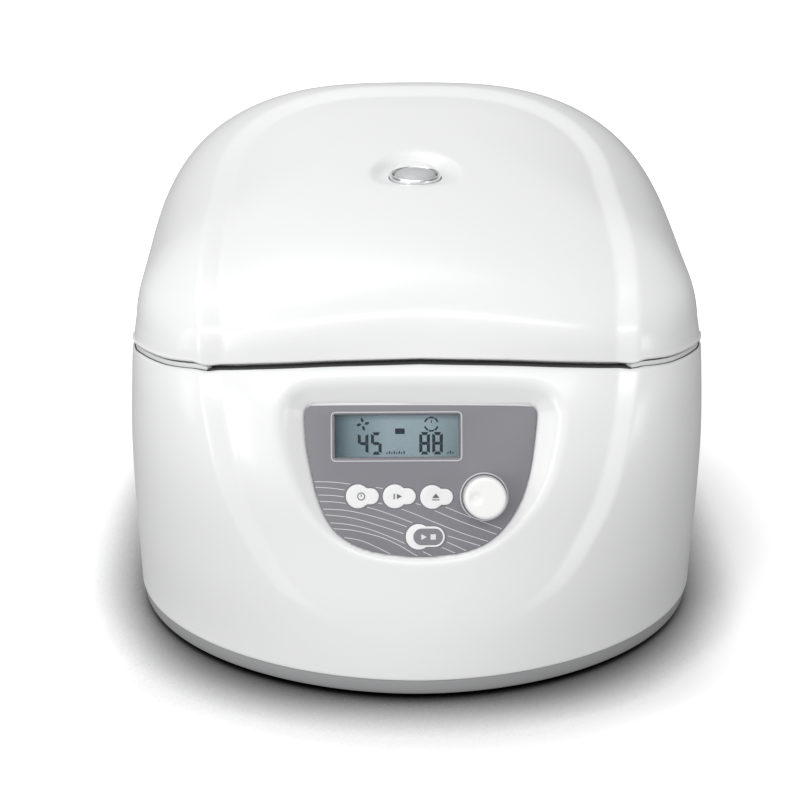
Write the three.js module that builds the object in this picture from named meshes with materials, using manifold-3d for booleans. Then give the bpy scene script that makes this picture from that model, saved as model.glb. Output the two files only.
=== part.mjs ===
// Benchtop laboratory centrifuge: shell with hinged lid, control panel, rotor, motor and boards.
// Millimetres, +Z up, front towards -Y, X = 0 is the plane of symmetry of the shell.
// Origin: centre of the footprint, at the level the rubber feet stand on.
import * as THREE from "three";
import { mergeVertices } from "three/addons/utils/BufferGeometryUtils.js";
import Module from "manifold-3d";

const manifold = await Module();
manifold.setup();
const { clamp, degToRad, radToDeg, smoothstep } = THREE.MathUtils;

// ---------- driving dimensions ----------
const PLAN_Y = -60; // centre that the plan outlines are drawn about
const PLAN_Z = [0, 12, 60, 100, 140, 166, 190]; // heights of the plan outlines
const HALF_WIDTH = [148.6, 149.6, 150.2, 149.6, 147.3, 145.6, 144];
const FRONT_REACH = [122.5, 122.5, 118.5, 113.5, 100.5, 84.5, 66]; // forward of PLAN_Y
const FRONT_SQUARENESS = [1.93, 1.93, 2.25, 2.65, 3.1, 3.3, 3.4];
const REAR_REACH = [239, 242.5, 242.5, 242, 216, 208, 200]; // behind PLAN_Y
const REAR_SQUARENESS = 4;
const SHELL_POINTS = 56; // points round the shell

// seam between lid and housing: degrees from the front, and height there
const SEAM_ANGLE = [0, 25.6, 42, 50.8, 58.4, 62, 65, 70, 76, 90, 120, 180];
const SEAM_Z = [165.9, 165, 163.2, 161.4, 159.6, 158.9, 158.7, 158, 155.5, 151, 147.5, 146];
const SEAM_HALF_GAP = 1.2;

const WALL = 3;
const RECESS = 3.5; // depth of the centre field between the two cheeks
const BASE_SPLIT = 12; // housing starts here, grey tray below
const FOOT_HEIGHT = 3;
const FIT = 0.3; // gap between stacked parts
const ROTOR_AXIS = [0, -12];
const DECK_Z = 138;
const WINDOW_AXIS = [0, -24.5];
const WINDOW_Z = 223.8; // height of the flat round the window
const HINGE_Y = 168;
const HINGE_Z = 148;
const HOOK_X = 84;
const HOOK_Y = -113;
const PANEL_TILT = degToRad(22); // control panel leans back by this
const PANEL_ORIGIN = [0, -171.4, 77];
const REAR_Y = 174.7; // inner face of the rear plate
const REAR_Z = 58.5;
const REAR_HALF = [78.5, 29.5]; // half width and half height of the rear plate
const DAMPER_CIRCLE = 62;
const DAMPER_Z = 42;
const GUARD_Z = 57; // underside of the guard ring
const BOARD_Z = 16; // underside of the power board
const SIDES = [["left", -1], ["right", 1]];
const COLOURS = {
  white: 0xe9eaec, grey: 0x86888e, dark: 0x2b2d31, steel: 0xb9bcc0, clear: 0xaebfc6,
  green: 0x2f6b45, rubber: 0x202124, copper: 0xb06a3a, black: 0x17181a,
};

// ---------- numbers and points ----------
const about = (centre, half) => [centre - half, centre + half];

// monotone cubic through (stations[i], values[i]), held level beyond both ends
function curve(at, stations, values) {
  const x = clamp(at, stations[0], stations.at(-1));
  const last = values.length - 1;
  const rise = (i) => (values[i + 1] - values[i]) / (stations[i + 1] - stations[i]);
  const slope = (i) => {
    if (i === 0) return rise(0);
    if (i === last) return rise(last - 1);
    const before = rise(i - 1);
    const after = rise(i);
    return before * after > 0 ? (2 * before * after) / (before + after) : 0;
  };
  let i = 0;
  while (i < last - 1 && x >= stations[i + 1]) i++;
  const width = stations[i + 1] - stations[i];
  const t = (x - stations[i]) / width;
  return (2 * t ** 3 - 3 * t * t + 1) * values[i]
    + (t ** 3 - 2 * t * t + t) * width * slope(i)
    + (-2 * t ** 3 + 3 * t * t) * values[i + 1]
    + (t ** 3 - t * t) * width * slope(i + 1);
}

// points [x, y] evenly spaced on a circle
const spaced = (count, radius, [x, y] = ROTOR_AXIS, start = 0) =>
  Array.from({ length: count }, (_, i) => {
    const angle = start + (2 * Math.PI * i) / count;
    return [x + radius * Math.cos(angle), y + radius * Math.sin(angle)];
  });
const lift = (points, z) => points.map(([x, y]) => [x, y, z]);
const circle = (radius, z, sides, centre) => lift(spaced(sides, radius, centre), z);

// moves an anticlockwise outline outwards
const offset = (outline, distance) => outline.map(([x, y], i) => {
  const before = outline.at(i - 1);
  const after = outline[(i + 1) % outline.length];
  const dx = after[0] - before[0];
  const dy = after[1] - before[1];
  const length = Math.hypot(dx, dy);
  return [x + (distance * dy) / length, y - (distance * dx) / length];
});

// outline of a bar along x with round ends
function pill(x0, x1, radius, y, steps) {
  const end = (x, start) => Array.from({ length: steps + 1 }, (_, i) => {
    const angle = start + (Math.PI * i) / steps;
    return [x + radius * Math.cos(angle), y + radius * Math.sin(angle)];
  });
  return [...end(x1 - radius, -Math.PI / 2), ...end(x0 + radius, Math.PI / 2)];
}

// ---------- solids ----------
function toSolid(geometry) {
  geometry.deleteAttribute("normal");
  geometry.deleteAttribute("uv");
  const merged = mergeVertices(geometry, 1e-3);
  const index = merged.index.array;
  const kept = [];
  for (let t = 0; t < index.length; t += 3) {
    const [a, b, c] = index.slice(t, t + 3);
    if (a !== b && b !== c && a !== c) kept.push(a, b, c);
  }
  return new manifold.Manifold(new manifold.Mesh({
    numProp: 3,
    vertProperties: new Float32Array(merged.attributes.position.array),
    triVerts: new Uint32Array(kept),
  }));
}

// Solid through rings of equal length. A ring of one point is a pole.
// Ends are closed with a pole at their middle, or joined to each other if loop is set.
function skin(sections, loop = false) {
  const list = sections.slice();
  const middle = (ring) => [0, 1, 2].map((k) => ring.reduce((sum, p) => sum + p[k] / ring.length, 0));
  if (!loop) {
    if (list[0].length > 1) list.unshift([middle(list[0])]);
    if (list.at(-1).length > 1) list.push([middle(list.at(-1))]);
  }
  const points = list.flat();
  let total = 0;
  const starts = list.map((ring) => (total += ring.length) - ring.length);
  const sides = Math.max(...list.map((ring) => ring.length));
  const bands = loop ? list.length : list.length - 1;
  let triangles = [];
  for (let k = 0; k < bands; k++) {
    const next = (k + 1) % list.length;
    const a = starts[k];
    const b = starts[next];
    for (let i = 0; i < sides; i++) {
      const j = (i + 1) % sides;
      if (list[k].length === 1) triangles.push([a, b + i, b + j]);
      else if (list[next].length === 1) triangles.push([a + i, b, a + j]);
      else triangles.push([a + i, b + i, b + j], [a + i, b + j, a + j]);
    }
  }
  // a negative volume means the faces point inwards
  const corner = (i) => new THREE.Vector3(...points[i]);
  const volume = triangles.reduce(
    (sum, [a, b, c]) => sum + corner(a).dot(corner(b).cross(corner(c))), 0);
  if (volume < 0) triangles = triangles.map(([a, b, c]) => [a, c, b]);
  const geometry = new THREE.BufferGeometry();
  geometry.setAttribute("position", new THREE.Float32BufferAttribute(points.flat(), 3));
  geometry.setIndex(triangles.flat());
  return toSolid(geometry);
}

const add = (...solids) => solids.reduce((a, b) => a.add(b));
const cut = (body, ...tools) => tools.reduce((a, b) => a.subtract(b), body);
const place = (solid, matrix) => solid.transform(Array.from(matrix.elements));
const cylinder = (radius, [z0, z1], centre, sides) =>
  skin([circle(radius, z0, sides, centre), circle(radius, z1, sides, centre)]);

// turns a profile of [radius, z]; one that starts off the axis is closed into a hollow ring
function lathe(profile, sides, centre = ROTOR_AXIS) {
  const ring = ([r, z]) => (r === 0 ? [[...centre, z]] : circle(r, z, sides, centre));
  return skin(profile.map(ring), profile[0][0] > 0);
}

function box([x0, x1], [y0, y1], [z0, z1]) {
  const geometry = new THREE.BoxGeometry(x1 - x0, y1 - y0, z1 - z0);
  geometry.translate((x0 + x1) / 2, (y0 + y1) / 2, (z0 + z1) / 2);
  return toSolid(geometry);
}

function prism(outline, [z0, z1]) {
  const shape = new THREE.Shape(outline.map(([x, y]) => new THREE.Vector2(x, y)));
  const geometry = new THREE.ExtrudeGeometry(shape, { depth: z1 - z0, bevelEnabled: false });
  geometry.translate(0, 0, z0);
  return toSolid(geometry);
}

// ---------- frames ----------
const frame = (origin, ...axes) => new THREE.Matrix4()
  .makeBasis(...axes.map((axis) => new THREE.Vector3(...axis)))
  .setPosition(...origin);
const tiltSin = Math.sin(PANEL_TILT);
const tiltCos = Math.cos(PANEL_TILT);
// on the panel and the rear plate: x to the viewer's right, y up, z out of the machine
const PANEL_FRAME = frame(PANEL_ORIGIN, [1, 0, 0], [0, tiltSin, tiltCos], [0, -tiltCos, tiltSin]);
const REAR_FRAME = frame([0, REAR_Y, REAR_Z], [-1, 0, 0], [0, 0, 1], [0, 1, 0]);
// local z runs along +X, local x along +Y and local y along +Z
const alongX = (origin) => frame(origin, [0, 1, 0], [0, 0, 1], [1, 0, 0]);
const turnedAboutRotor = (angle) => new THREE.Matrix4()
  .makeTranslation(...ROTOR_AXIS, 0)
  .multiply(new THREE.Matrix4().makeRotationZ(angle));

const root = new THREE.Group();
root.name = "benchtop_centrifuge";

function part(name, solid, colour, matrix) {
  const source = (matrix ? place(solid, matrix) : solid).getMesh();
  const geometry = new THREE.BufferGeometry();
  geometry.setAttribute("position", new THREE.Float32BufferAttribute(source.vertProperties, 3));
  geometry.setIndex(new THREE.BufferAttribute(source.triVerts, 1));
  const material = new THREE.MeshStandardMaterial({ color: COLOURS[colour] });
  const mesh = new THREE.Mesh(geometry, material);
  mesh.name = name;
  root.add(mesh);
}

// ---------- shell surfaces ----------
// angles run anticlockwise from +X
const angles = Array.from({ length: SHELL_POINTS }, (_, i) => (2 * Math.PI * i) / SHELL_POINTS);

// superellipse, with its own reach and squareness for the front and rear halves
function planPoint(angle, z, inset = 0) {
  const c = Math.cos(angle);
  const s = Math.sin(angle);
  const front = s < 0;
  const halfWidth = curve(z, PLAN_Z, HALF_WIDTH) - inset;
  const reach = curve(z, PLAN_Z, front ? FRONT_REACH : REAR_REACH) - inset;
  const power = front ? curve(z, PLAN_Z, FRONT_SQUARENESS) : REAR_SQUARENESS;
  const sum = (Math.abs(c) / halfWidth) ** power + (Math.abs(s) / reach) ** power;
  const radius = 1 / sum ** (1 / power);
  return [radius * c, PLAN_Y + radius * s];
}

function seamZ(angle) {
  const fromFront = radToDeg(Math.acos(clamp(-Math.sin(angle), -1, 1)));
  return curve(fromFront, SEAM_ANGLE, SEAM_Z);
}
const rimZ = (angle) => seamZ(angle) - SEAM_HALF_GAP;
const lidEdgeZ = (angle) => seamZ(angle) + SEAM_HALF_GAP;

// half width of the recessed centre field on the housing front, by height
const FIELD_Z = [34, 38, 46, 58, 78, 104.5, 134, 166];
const FIELD_HALF = [10, 32, 50, 67, 80, 91.5, 98.5, 103.5];
// and on the lid, by y, as far back as LID_FIELD_Y.at(-1); it closes in an arch behind that
const LID_FIELD_Y = [-145, -95, -60, -15];
const LID_FIELD_HALF = [101.5, 104, 103.5, 102];
const ARCH_LENGTH = 98;
const FIELD_BLEND = 6; // half width of the step at the field's edge

function housingRecess(x, z) {
  const inside = curve(z, FIELD_Z, FIELD_HALF) - Math.abs(x);
  return RECESS * smoothstep(inside, -FIELD_BLEND, FIELD_BLEND) * smoothstep(z, 36, 95);
}
function lidRecess(x, y) {
  const archY = LID_FIELD_Y.at(-1);
  const reach = y < archY
    ? Math.abs(x) / curve(y, LID_FIELD_Y, LID_FIELD_HALF)
    : ((Math.abs(x) / LID_FIELD_HALF.at(-1)) ** 3 + ((y - archY) / ARCH_LENGTH) ** 3) ** (1 / 3);
  return RECESS * smoothstep((1 - reach) * 100, -FIELD_BLEND, FIELD_BLEND);
}

const housingRing = (zAt, inset) => angles.map((angle) => {
  const z = zAt(angle);
  const [x, y] = planPoint(angle, z, inset);
  return [x, y + (Math.sin(angle) < 0 ? housingRecess(x, z) : 0), z];
});
const rim = angles.map((angle) => planPoint(angle, seamZ(angle)));
const rimInset = (inset, zAt) =>
  offset(rim, -inset).map(([x, y], i) => [x, y, zAt(angles[i])]);

// top of the lid: level, then sloping down behind the knee, and falling to both sides
const LID = {
  centreY: 57.5, top: 247.9, slope: 0.148, kneeY: 94.6, kneeSoftness: 18,
  rearBend: 0.0006, crown: 0.00019,
};
// roundness of the lid's section at the sides, front and rear
const DOME_POWER = { side: 2.56, front: 4.6, rear: 3.03 };
const FRONT_TAPER = 0.06;
// widening of the dome in x, by fraction of its height
const DOME_RISE = [0, 0.11, 0.2, 0.29, 0.38, 0.47, 0.56, 0.71, 0.84, 1];
const DOME_WIDEN = [1, 0.991, 0.99, 0.996, 1.0066, 1.019, 1.028, 1.042, 1.05, 1.062];

function lidTopZ(x, y) {
  const past = y - LID.kneeY;
  const soft = LID.kneeSoftness;
  return LID.top - LID.slope * soft * Math.log1p(Math.exp(-past / soft))
    - LID.rearBend * Math.max(past, 0) ** 2 - LID.crown * x * x;
}

// step runs from 0 at the seam to 1 at the apex
function plainDome(angle, step) {
  const edgeZ = seamZ(angle);
  const [edgeX, edgeY] = planPoint(angle, edgeZ);
  const front = Math.sin(angle) < 0;
  const weight = Math.abs(Math.sin(angle)) ** 3;
  const { side } = DOME_POWER;
  const power = side + ((front ? DOME_POWER.front : DOME_POWER.rear) - side) * weight;
  const taper = front ? FRONT_TAPER * weight : 0;
  const turn = (step * Math.PI) / 2;
  const rise = Math.sin(turn) ** (2 / power);
  const spread = Math.max(0, Math.cos(turn)) ** (2 / power) * (1 - taper * rise);
  const x = edgeX * spread * curve(rise, DOME_RISE, DOME_WIDEN);
  const y = LID.centreY + (edgeY - LID.centreY) * spread;
  return [x, y, (edgeZ + SEAM_HALF_GAP) * (1 - rise) + lidTopZ(x, y) * rise];
}

function domeNormal(angle, step) {
  if (step > 0.999) return new THREE.Vector3(0, 0, 1);
  const at = (a, s) => new THREE.Vector3(...plainDome(a, s));
  const delta = 1e-3;
  const safe = Math.max(step, 0.02); // keeps off the vertical start of the section
  const around = at(angle + delta, safe).sub(at(angle - delta, safe));
  const upward = at(angle, Math.min(1, safe + delta)).sub(at(angle, safe - delta));
  const normal = around.cross(upward).normalize();
  if (step === 0) normal.setZ(0).normalize();
  return normal;
}

// dome with the recessed field, moved inward, and flattened round the window
function dome(angle, step, inward) {
  const p = new THREE.Vector3(...plainDome(angle, step));
  p.addScaledVector(domeNormal(angle, step), -(lidRecess(p.x, p.y) + inward));
  const fromWindow = Math.hypot(p.x, p.y - WINDOW_AXIS[1]);
  if (p.z > 200) p.z += (WINDOW_Z - inward - p.z) * (1 - smoothstep(fromWindow, 16, 25));
  return [p.x, p.y, p.z];
}

// ---------- control panel layout, in panel coordinates ----------
const PANEL_POINTS = 36;
const PANEL_CENTRE = [0, 38];
// outline of the fascia, [x, y]
const FASCIA = [
  [-56.2, 64.2], [-56, 69.8], [-54.9, 72], [-52.7, 72.9], [54, 72.3], [56.6, 70.6], [57.2, 67.6],
  [56.8, 63.5], [55.5, 51.4], [53.9, 40.9], [51.4, 31.2], [48.1, 23.1], [41.6, 12.6], [33.5, 5.3],
  [25.3, 1.8], [17.2, -0.2], [1, -1.6], [-15.1, -0.4], [-27.3, 2.1], [-37.8, 7.4], [-43.4, 13.1],
  [-47.4, 20.4], [-50.6, 29.4], [-52.5, 38.3], [-55.3, 52],
];
// mouth of the flared pocket that holds it, [x, y]
const MOUTH = [
  [-67.6, 66], [-67.8, 79.4], [-66.3, 83.2], [-61.8, 85], [61.8, 85], [66.3, 83.2], [68, 78.8],
  [67.8, 70], [66.5, 50.5], [64.4, 38], [60.6, 26.1], [57, 17.5], [51.2, 9.2], [44.5, 3.2],
  [36.3, -0.6], [21, -3], [0, -3.8], [-21, -3], [-36.8, -0.3], [-45, 4.6], [-51.3, 12],
  [-56.8, 20.5], [-60.8, 29.4], [-64.4, 43], [-66.6, 57],
];
const KEYS = { key_mode: [-30.4, 28.3], key_pulse: [-12.4, 28.2], key_lid: [5.8, 27.8] };
const RUN_KEY = [-0.9, 8.4];
const KNOB = [31.2, 27.8];
const KNOB_TOP = 14;

// points where evenly turned rays from PANEL_CENTRE leave the outline
const resample = (outline) => spaced(PANEL_POINTS, 1, [0, 0]).map(([dx, dy]) => {
  const [cx, cy] = PANEL_CENTRE;
  let reach = 0;
  outline.forEach(([x, y], i) => {
    const next = outline[(i + 1) % outline.length];
    const ex = next[0] - x;
    const ey = next[1] - y;
    const det = dy * ex - dx * ey;
    if (Math.abs(det) < 1e-9) return;
    const distance = ((y - cy) * ex - (x - cx) * ey) / det;
    const along = (dx * (y - cy) - dy * (x - cx)) / det;
    if (along >= -1e-6 && along <= 1 + 1e-6) reach = Math.max(reach, distance);
  });
  return [cx + dx * reach, cy + dy * reach];
});
const fascia = resample(FASCIA);
const mouth = resample(MOUTH);

// margin 0 gives the pocket itself, WALL the block that keeps a wall behind it
function panelPocket(margin) {
  // blend from fascia to mouth, clearance, height
  const stations = [
    [0, 0.5, -1.9 - margin], [0, 0.5, margin > 0 ? -1 : 0], [0.78, 0, 3.4], [1, 0, 7], [1.6, 0, 22],
  ];
  return place(skin(stations.map(([blend, clearance, z]) => {
    const mixed = fascia.map(([x, y], i) =>
      [x + (mouth[i][0] - x) * blend, y + (mouth[i][1] - y) * blend]);
    return lift(offset(mixed, clearance + margin), z);
  })), PANEL_FRAME);
}

// a round key with a tail to the right
const keyShape = ([x, y], gap, heights) => add(
  cylinder(5.9 + gap, heights, [x, y], 18),
  prism(pill(x - 2, x + 10.3 + gap, 4 + gap, y, 5), heights));
const runKeyShape = (gap, heights) => add(
  cylinder(6.3 + gap, heights, RUN_KEY, 18),
  prism(pill(-4.1 - gap, 12 + gap, 5.1 + gap, 8.35, 5), heights));
const keyHoles = (gap, heights) => [
  ...Object.values(KEYS).map((centre) => keyShape(centre, gap, heights)),
  runKeyShape(gap, heights),
];

// ---------- housing ----------
// the recess for the rear plate and the hinge slot, each enlarged by margin
const rearRecess = (margin, yEnd) => {
  const [halfX, halfZ] = REAR_HALF.map((half) => half + 0.5 + margin);
  return box(about(0, halfX), [REAR_Y - FIT - margin, yEnd], about(REAR_Z, halfZ));
};
const hingeSlot = (margin, yEnd, zEnd) =>
  box(about(0, 78 + margin), [150 - margin, yEnd], [127 - margin, zEnd]);

function housing() {
  const straightTop = 134;
  const upper = (t) => (angle) => straightTop + (rimZ(angle) - 1 - straightTop) * t;
  const outer = skin([
    ...[BASE_SPLIT, 28, 46, 64, 82, 100, 118, straightTop].map((z) => housingRing(() => z, 0)),
    housingRing(upper(0.55), 0),
    housingRing(upper(1), 0),
    rimInset(4.6, rimZ),
    rimInset(7, rimZ),
    rimInset(9, () => DECK_Z),
  ]);
  const inner = skin([
    ...[BASE_SPLIT - 2, 60, 100, 128].map((z) => housingRing(() => z, WALL)),
    housingRing((angle) => rimZ(angle) - 5.5, WALL + 0.6),
    rimInset(6.2, () => DECK_Z - WALL),
  ]);
  const cavity = cut(inner, panelPocket(WALL), rearRecess(WALL, 195), hingeSlot(WALL, 195, 200));
  const holeZ = [-8, 4];
  const panelHoles = [
    ...keyHoles(0.5, holeZ),
    box([-42.5, 19.8], [46.6, 68.6], holeZ), // display
    cylinder(5, holeZ, KNOB, 20),
  ];
  return cut(
    outer,
    cavity,
    panelPocket(0),
    rearRecess(0, 200),
    box(about(0, 72), [150, 200], about(REAR_Z, 22.5)), // opening behind the rear plate
    hingeSlot(0, 200, 220),
    cylinder(110, [120, 160], ROTOR_AXIS, 60), // chamber mouth
    ...SIDES.map(([, side]) => box(about(side * HOOK_X, 9), about(HOOK_Y, 5.5), [125, 160])),
    ...panelHoles.map((hole) => place(hole, PANEL_FRAME)));
}
part("upper_housing", housing(), "white");

// ---------- base tray and feet ----------
function baseTray() {
  // inset from the shell outline, z: up the outside, over the edge, down to the floor
  const edgeZ = BASE_SPLIT - 0.4;
  const stations = [[6.5, FOOT_HEIGHT], [3, 4], [1.4, 6.6], [1, edgeZ], [3.6, edgeZ], [4.4, 5.9]];
  const pan = skin(stations.map(([inset, z]) =>
    lift(angles.map((angle) => planPoint(angle, BASE_SPLIT, inset)), z)));
  const posts = (points, radius, top, sides) =>
    points.map((centre) => cylinder(radius, [4.5, top - FIT], centre, sides));
  const slots = [];
  for (let i = -3; i <= 3; i++) slots.push(box(about(i * 9, 2), [-30, 14], [0, 8]));
  for (let i = -2; i <= 2; i++) {
    for (const [, side] of SIDES) slots.push(box(about(side * 96 + i * 8, 1.8), [82, 112], [0, 8]));
  }
  return cut(add(
    pan,
    ...posts(spaced(3, DAMPER_CIRCLE, ROTOR_AXIS, Math.PI / 2), 7, DAMPER_Z, 16),
    ...posts(spaced(4, 97, ROTOR_AXIS, Math.PI / 4), 5, GUARD_Z, 12),
    ...posts([[-62, 122], [-62, 158], [44, 122], [44, 158]], 3, BOARD_Z, 10)), ...slots);
}
part("base_tray", baseTray(), "grey");

const footTop = FOOT_HEIGHT - FIT;
[[-84, -122], [84, -122], [-106, 138], [106, 138]].forEach((centre, i) => {
  const profile = [[0, 0], [9.4, 0], [10.4, 0.8], [10.4, footTop], [0, footTop]];
  part("foot_" + (i + 1), lathe(profile, 20, centre), "rubber");
});

// ---------- rear connection plate, in rear plate coordinates ----------
const INLET_X = 50;
const SWITCH_X = 12;
const FUSE_X = -18;
const PULL_X = -37;

function rearPlate() {
  const through = [-1, 3];
  const vents = Array.from({ length: 6 }, (_, i) =>
    prism(pill(-20, 20, 1.15, 0, 3).map(([x, y]) => [y - 50 - i * 4.4, x]), through));
  return cut(
    box(about(0, REAR_HALF[0]), about(0, REAR_HALF[1]), [0, 2]),
    box(about(INLET_X, 14), about(0, 10.3), through),
    box(about(SWITCH_X, 8), about(0, 11), through),
    box(about(FUSE_X, 7.2), about(0, 4.9), through),
    cylinder(1.9, through, [PULL_X, 0], 16),
    ...vents);
}
part("rear_plate", rearPlate(), "dark", REAR_FRAME);

part("power_inlet", cut(
  add(
    box(about(INLET_X, 15), about(0, 12), [2.3, 4.2]),
    box(about(INLET_X, 13.5), about(0, 9.9), [-20, 3])),
  box(about(INLET_X, 12), about(0, 8), [-14, 6])), "black", REAR_FRAME);
const blade = (x, y) => box(about(x, 1), about(y, 2), [-12.6, 0]);
part("inlet_contacts", add(
  box(about(INLET_X, 9), about(0, 6), [-13.7, -12.5]),
  blade(INLET_X, 3),
  blade(INLET_X - 6.5, -1.5),
  blade(INLET_X + 6.5, -1.5)), "steel", REAR_FRAME);

part("switch_frame", cut(
  add(
    box(about(SWITCH_X, 9), about(0, 12.2), [2.3, 3.6]),
    box(about(SWITCH_X, 7.5), about(0, 10.5), [-12, 3])),
  box(about(SWITCH_X, 5.5), about(0, 8.9), [-10.5, 6])), "black", REAR_FRAME);
// section of the rocker, [out, up]; it is turned so that its upper half is pressed in
const ROCKER = [
  [-3.4, -7.6], [3.4, -7.6], [1.6, 0], [3.4, 7.6], [-3.4, 7.6], [-5.6, 2.4], [-5.6, -2.4],
];
part("power_rocker", prism(ROCKER, [-5, 5]), "dark",
  alongX([-SWITCH_X, REAR_Y + 1.4, REAR_Z])
    .multiply(new THREE.Matrix4().makeRotationZ(degToRad(11))));

part("fuse_drawer", add(
  box(about(FUSE_X, 8.5), about(0, 6.2), [2.3, 4.6]),
  box(about(FUSE_X, 6.8), about(0, 4.5), [-18, 3]),
  box(about(FUSE_X, 3), about(0, 3.4), [4.5, 5.8])), "dark", REAR_FRAME);
part("release_pull", lathe([
  [0, -22], [1.5, -22], [1.5, 2.4], [4.2, 2.4], [4.8, 3.2], [4.3, 5], [4.8, 6.8], [4, 7.6], [0, 7.6],
], 18, [PULL_X, 0]), "steel", REAR_FRAME);

// ---------- control panel ----------
part("control_fascia", cut(
  prism(fascia, [-1.6, 0]),
  ...keyHoles(0.4, [-3, 3]),
  box([-41.8, 19.5], [47.1, 68.2], [-3, 3]),
  cylinder(4.2, [-3, 3], KNOB, 20)), "grey", PANEL_FRAME);
part("display_bezel", cut(
  box([-43.4, 20.7], [45.2, 69.6], [0.3, 0.95]),
  box([-42.1, 19.4], [46.6, 68.2], [0, 2])), "steel", PANEL_FRAME);
part("display_pane", box([-41.5, 19.2], [47.4, 67.9], [-1.5, -0.3]), "clear", PANEL_FRAME);
for (const [name, centre] of Object.entries(KEYS)) {
  part(name, keyShape(centre, 0, [-5, 0.8]), "white", PANEL_FRAME);
}
part("key_run", runKeyShape(0, [-5, 1]), "white", PANEL_FRAME);

function controlKnob() {
  const body = lathe([
    [0, 1.4], [10.6, 1.4], [11, 1.9], [10.5, 12.6], [9.9, 13.6], [9, KNOB_TOP], [0, KNOB_TOP],
  ], 28, KNOB);
  const dimple = new THREE.SphereGeometry(16, 22, 14);
  dimple.translate(KNOB[0] - 3.4, KNOB[1], KNOB_TOP + 15.2);
  return cut(body, toSolid(dimple), cylinder(3.3, [0, 9], KNOB, 20));
}
part("control_knob", controlKnob(), "white", PANEL_FRAME);
part("encoder_shaft", cylinder(3, [-11.7, 8.6], KNOB, 20), "steel", PANEL_FRAME);
part("knob_collar", lathe([
  [11.9, 0.3], [12.7, 0.3], [12.7, 0.9], [12.4, 1.2], [12.1, 1.2], [11.9, 0.9],
], 28, KNOB), "steel", PANEL_FRAME);

function controlBoard() {
  const block = ([x, y], half, top) => box(about(x, half), about(y, half), [-14.3, top]);
  return cut(add(
    box([-52, 50], [14, 62], [-15.6, -14]),
    box([-43, 20.3], [45.8, 61], [-14.3, -5.3]),
    box([-43, 20.3], [45.8, 67.5], [-7.6, -5.3]),
    ...[...Object.values(KEYS), [2, 15.6]].map((centre) => block(centre, 3, -6.4)),
    block(KNOB, 6.5, -6)), cylinder(3.3, [-13.2, 0], KNOB, 20));
}
part("control_board", controlBoard(), "green", PANEL_FRAME);

// ---------- lid ----------
function lidShell() {
  const ring = (step, inward) => angles.map((angle) => dome(angle, step, inward));
  const outerSteps = [0.91, 0.8, 0.68, 0.57, 0.45, 0.34, 0.23, 0.13, 0.05, 0];
  const innerSteps = [0, 0.08, 0.23, 0.4, 0.57, 0.74, 0.9];
  return cut(skin([
    [dome(0, 1, 0)],
    ...outerSteps.map((step) => ring(step, 0)),
    ...innerSteps.map((step) => ring(step, WALL)),
    [dome(0, 1, WALL)],
  ]), cylinder(14.6, [190, 260], WINDOW_AXIS, 28));
}
part("lid_shell", lidShell(), "white");

function lidLiner() {
  const rings = (profile, centre) => profile.map(([r, z]) => circle(r, z, SHELL_POINTS, centre));
  return skin([
    rimInset(8, (angle) => lidEdgeZ(angle) + 1),
    rimInset(13, () => 147),
    ...rings([[117, 147], [102.5, 147], [97, 151], [84, 190], [70, 196]]),
    ...rings([[14.8, 196], [14.8, 217], [16.8, 217], [16.8, 198.5]], WINDOW_AXIS),
    ...rings([[71, 198.5], [86, 192.3], [99.4, 153.2], [104, 149.5], [116, 149.5]]),
    rimInset(14.5, () => 149.6),
    rimInset(9.2, (angle) => lidEdgeZ(angle) + 3.4),
  ], true);
}
part("lid_liner", lidLiner(), "white");
part("lid_seal", lathe([
  [107, 146.7], [107, 144.2], [108.4, 141.4], [110, 140.9], [111.6, 141.4], [113, 144.2],
  [113, 146.7],
], 44), "rubber");
part("window_ring", lathe([
  [12.1, 219.2], [14.2, 219.2], [14.2, 224.6], [13.5, 225.4], [12.7, 224.9], [12.1, 223.4],
], 28, WINDOW_AXIS), "steel");
part("window_lens", lathe([
  [0, 220.4], [11.8, 220.4], [11.8, 222.6], [8, 223.5], [0, 224],
], 24, WINDOW_AXIS), "clear");

// rod along X on the hinge axis
const hingeRod = (radius, span, sides = 14) =>
  place(cylinder(radius, span, [HINGE_Y, HINGE_Z], sides), alongX([0, 0, 0]));

const lidHook = (x) => cut(
  add(
    box(about(x, 8), about(HOOK_Y, 6), [144.6, 146.7]),
    box(about(x, 6), about(HOOK_Y, 1.5), [120.5, 145])),
  box(about(x, 3.8), about(HOOK_Y, 3), [124.5, 131.5]));
const lidArm = (x) => cut(
  add(
    box(about(x, 15), [154.1, 156.6], [149.5, 166]),
    box(about(x, 8), [155, HINGE_Y], [HINGE_Z - 3, HINGE_Z + 6.3]),
    hingeRod(6.3, about(x, 8))),
  hingeRod(2.75, about(x, 10)));
for (const [tag, side] of SIDES) {
  part("lid_hook_" + tag, lidHook(side * HOOK_X), "steel");
  part("lid_arm_" + tag, lidArm(side * 57), "white");
}

// ---------- hinge on the housing ----------
function hingeBracket() {
  const earX = [-70.8, -46.7, 46.7, 70.8];
  const ear = (x) => add(
    box(about(x, 1.9), [HINGE_Y - 5, HINGE_Y + 2.4], [129, HINGE_Z]),
    hingeRod(6, about(x, 1.9)));
  return cut(
    add(box(about(0, 74), [152, 170.5], [127.3, 129.8]), ...earX.map(ear)),
    ...earX.map((x) => hingeRod(2.8, about(x, 4))));
}
part("hinge_bracket", hingeBracket(), "steel");
part("hinge_pin", hingeRod(2.5, about(0, 74), 18), "steel");

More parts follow.
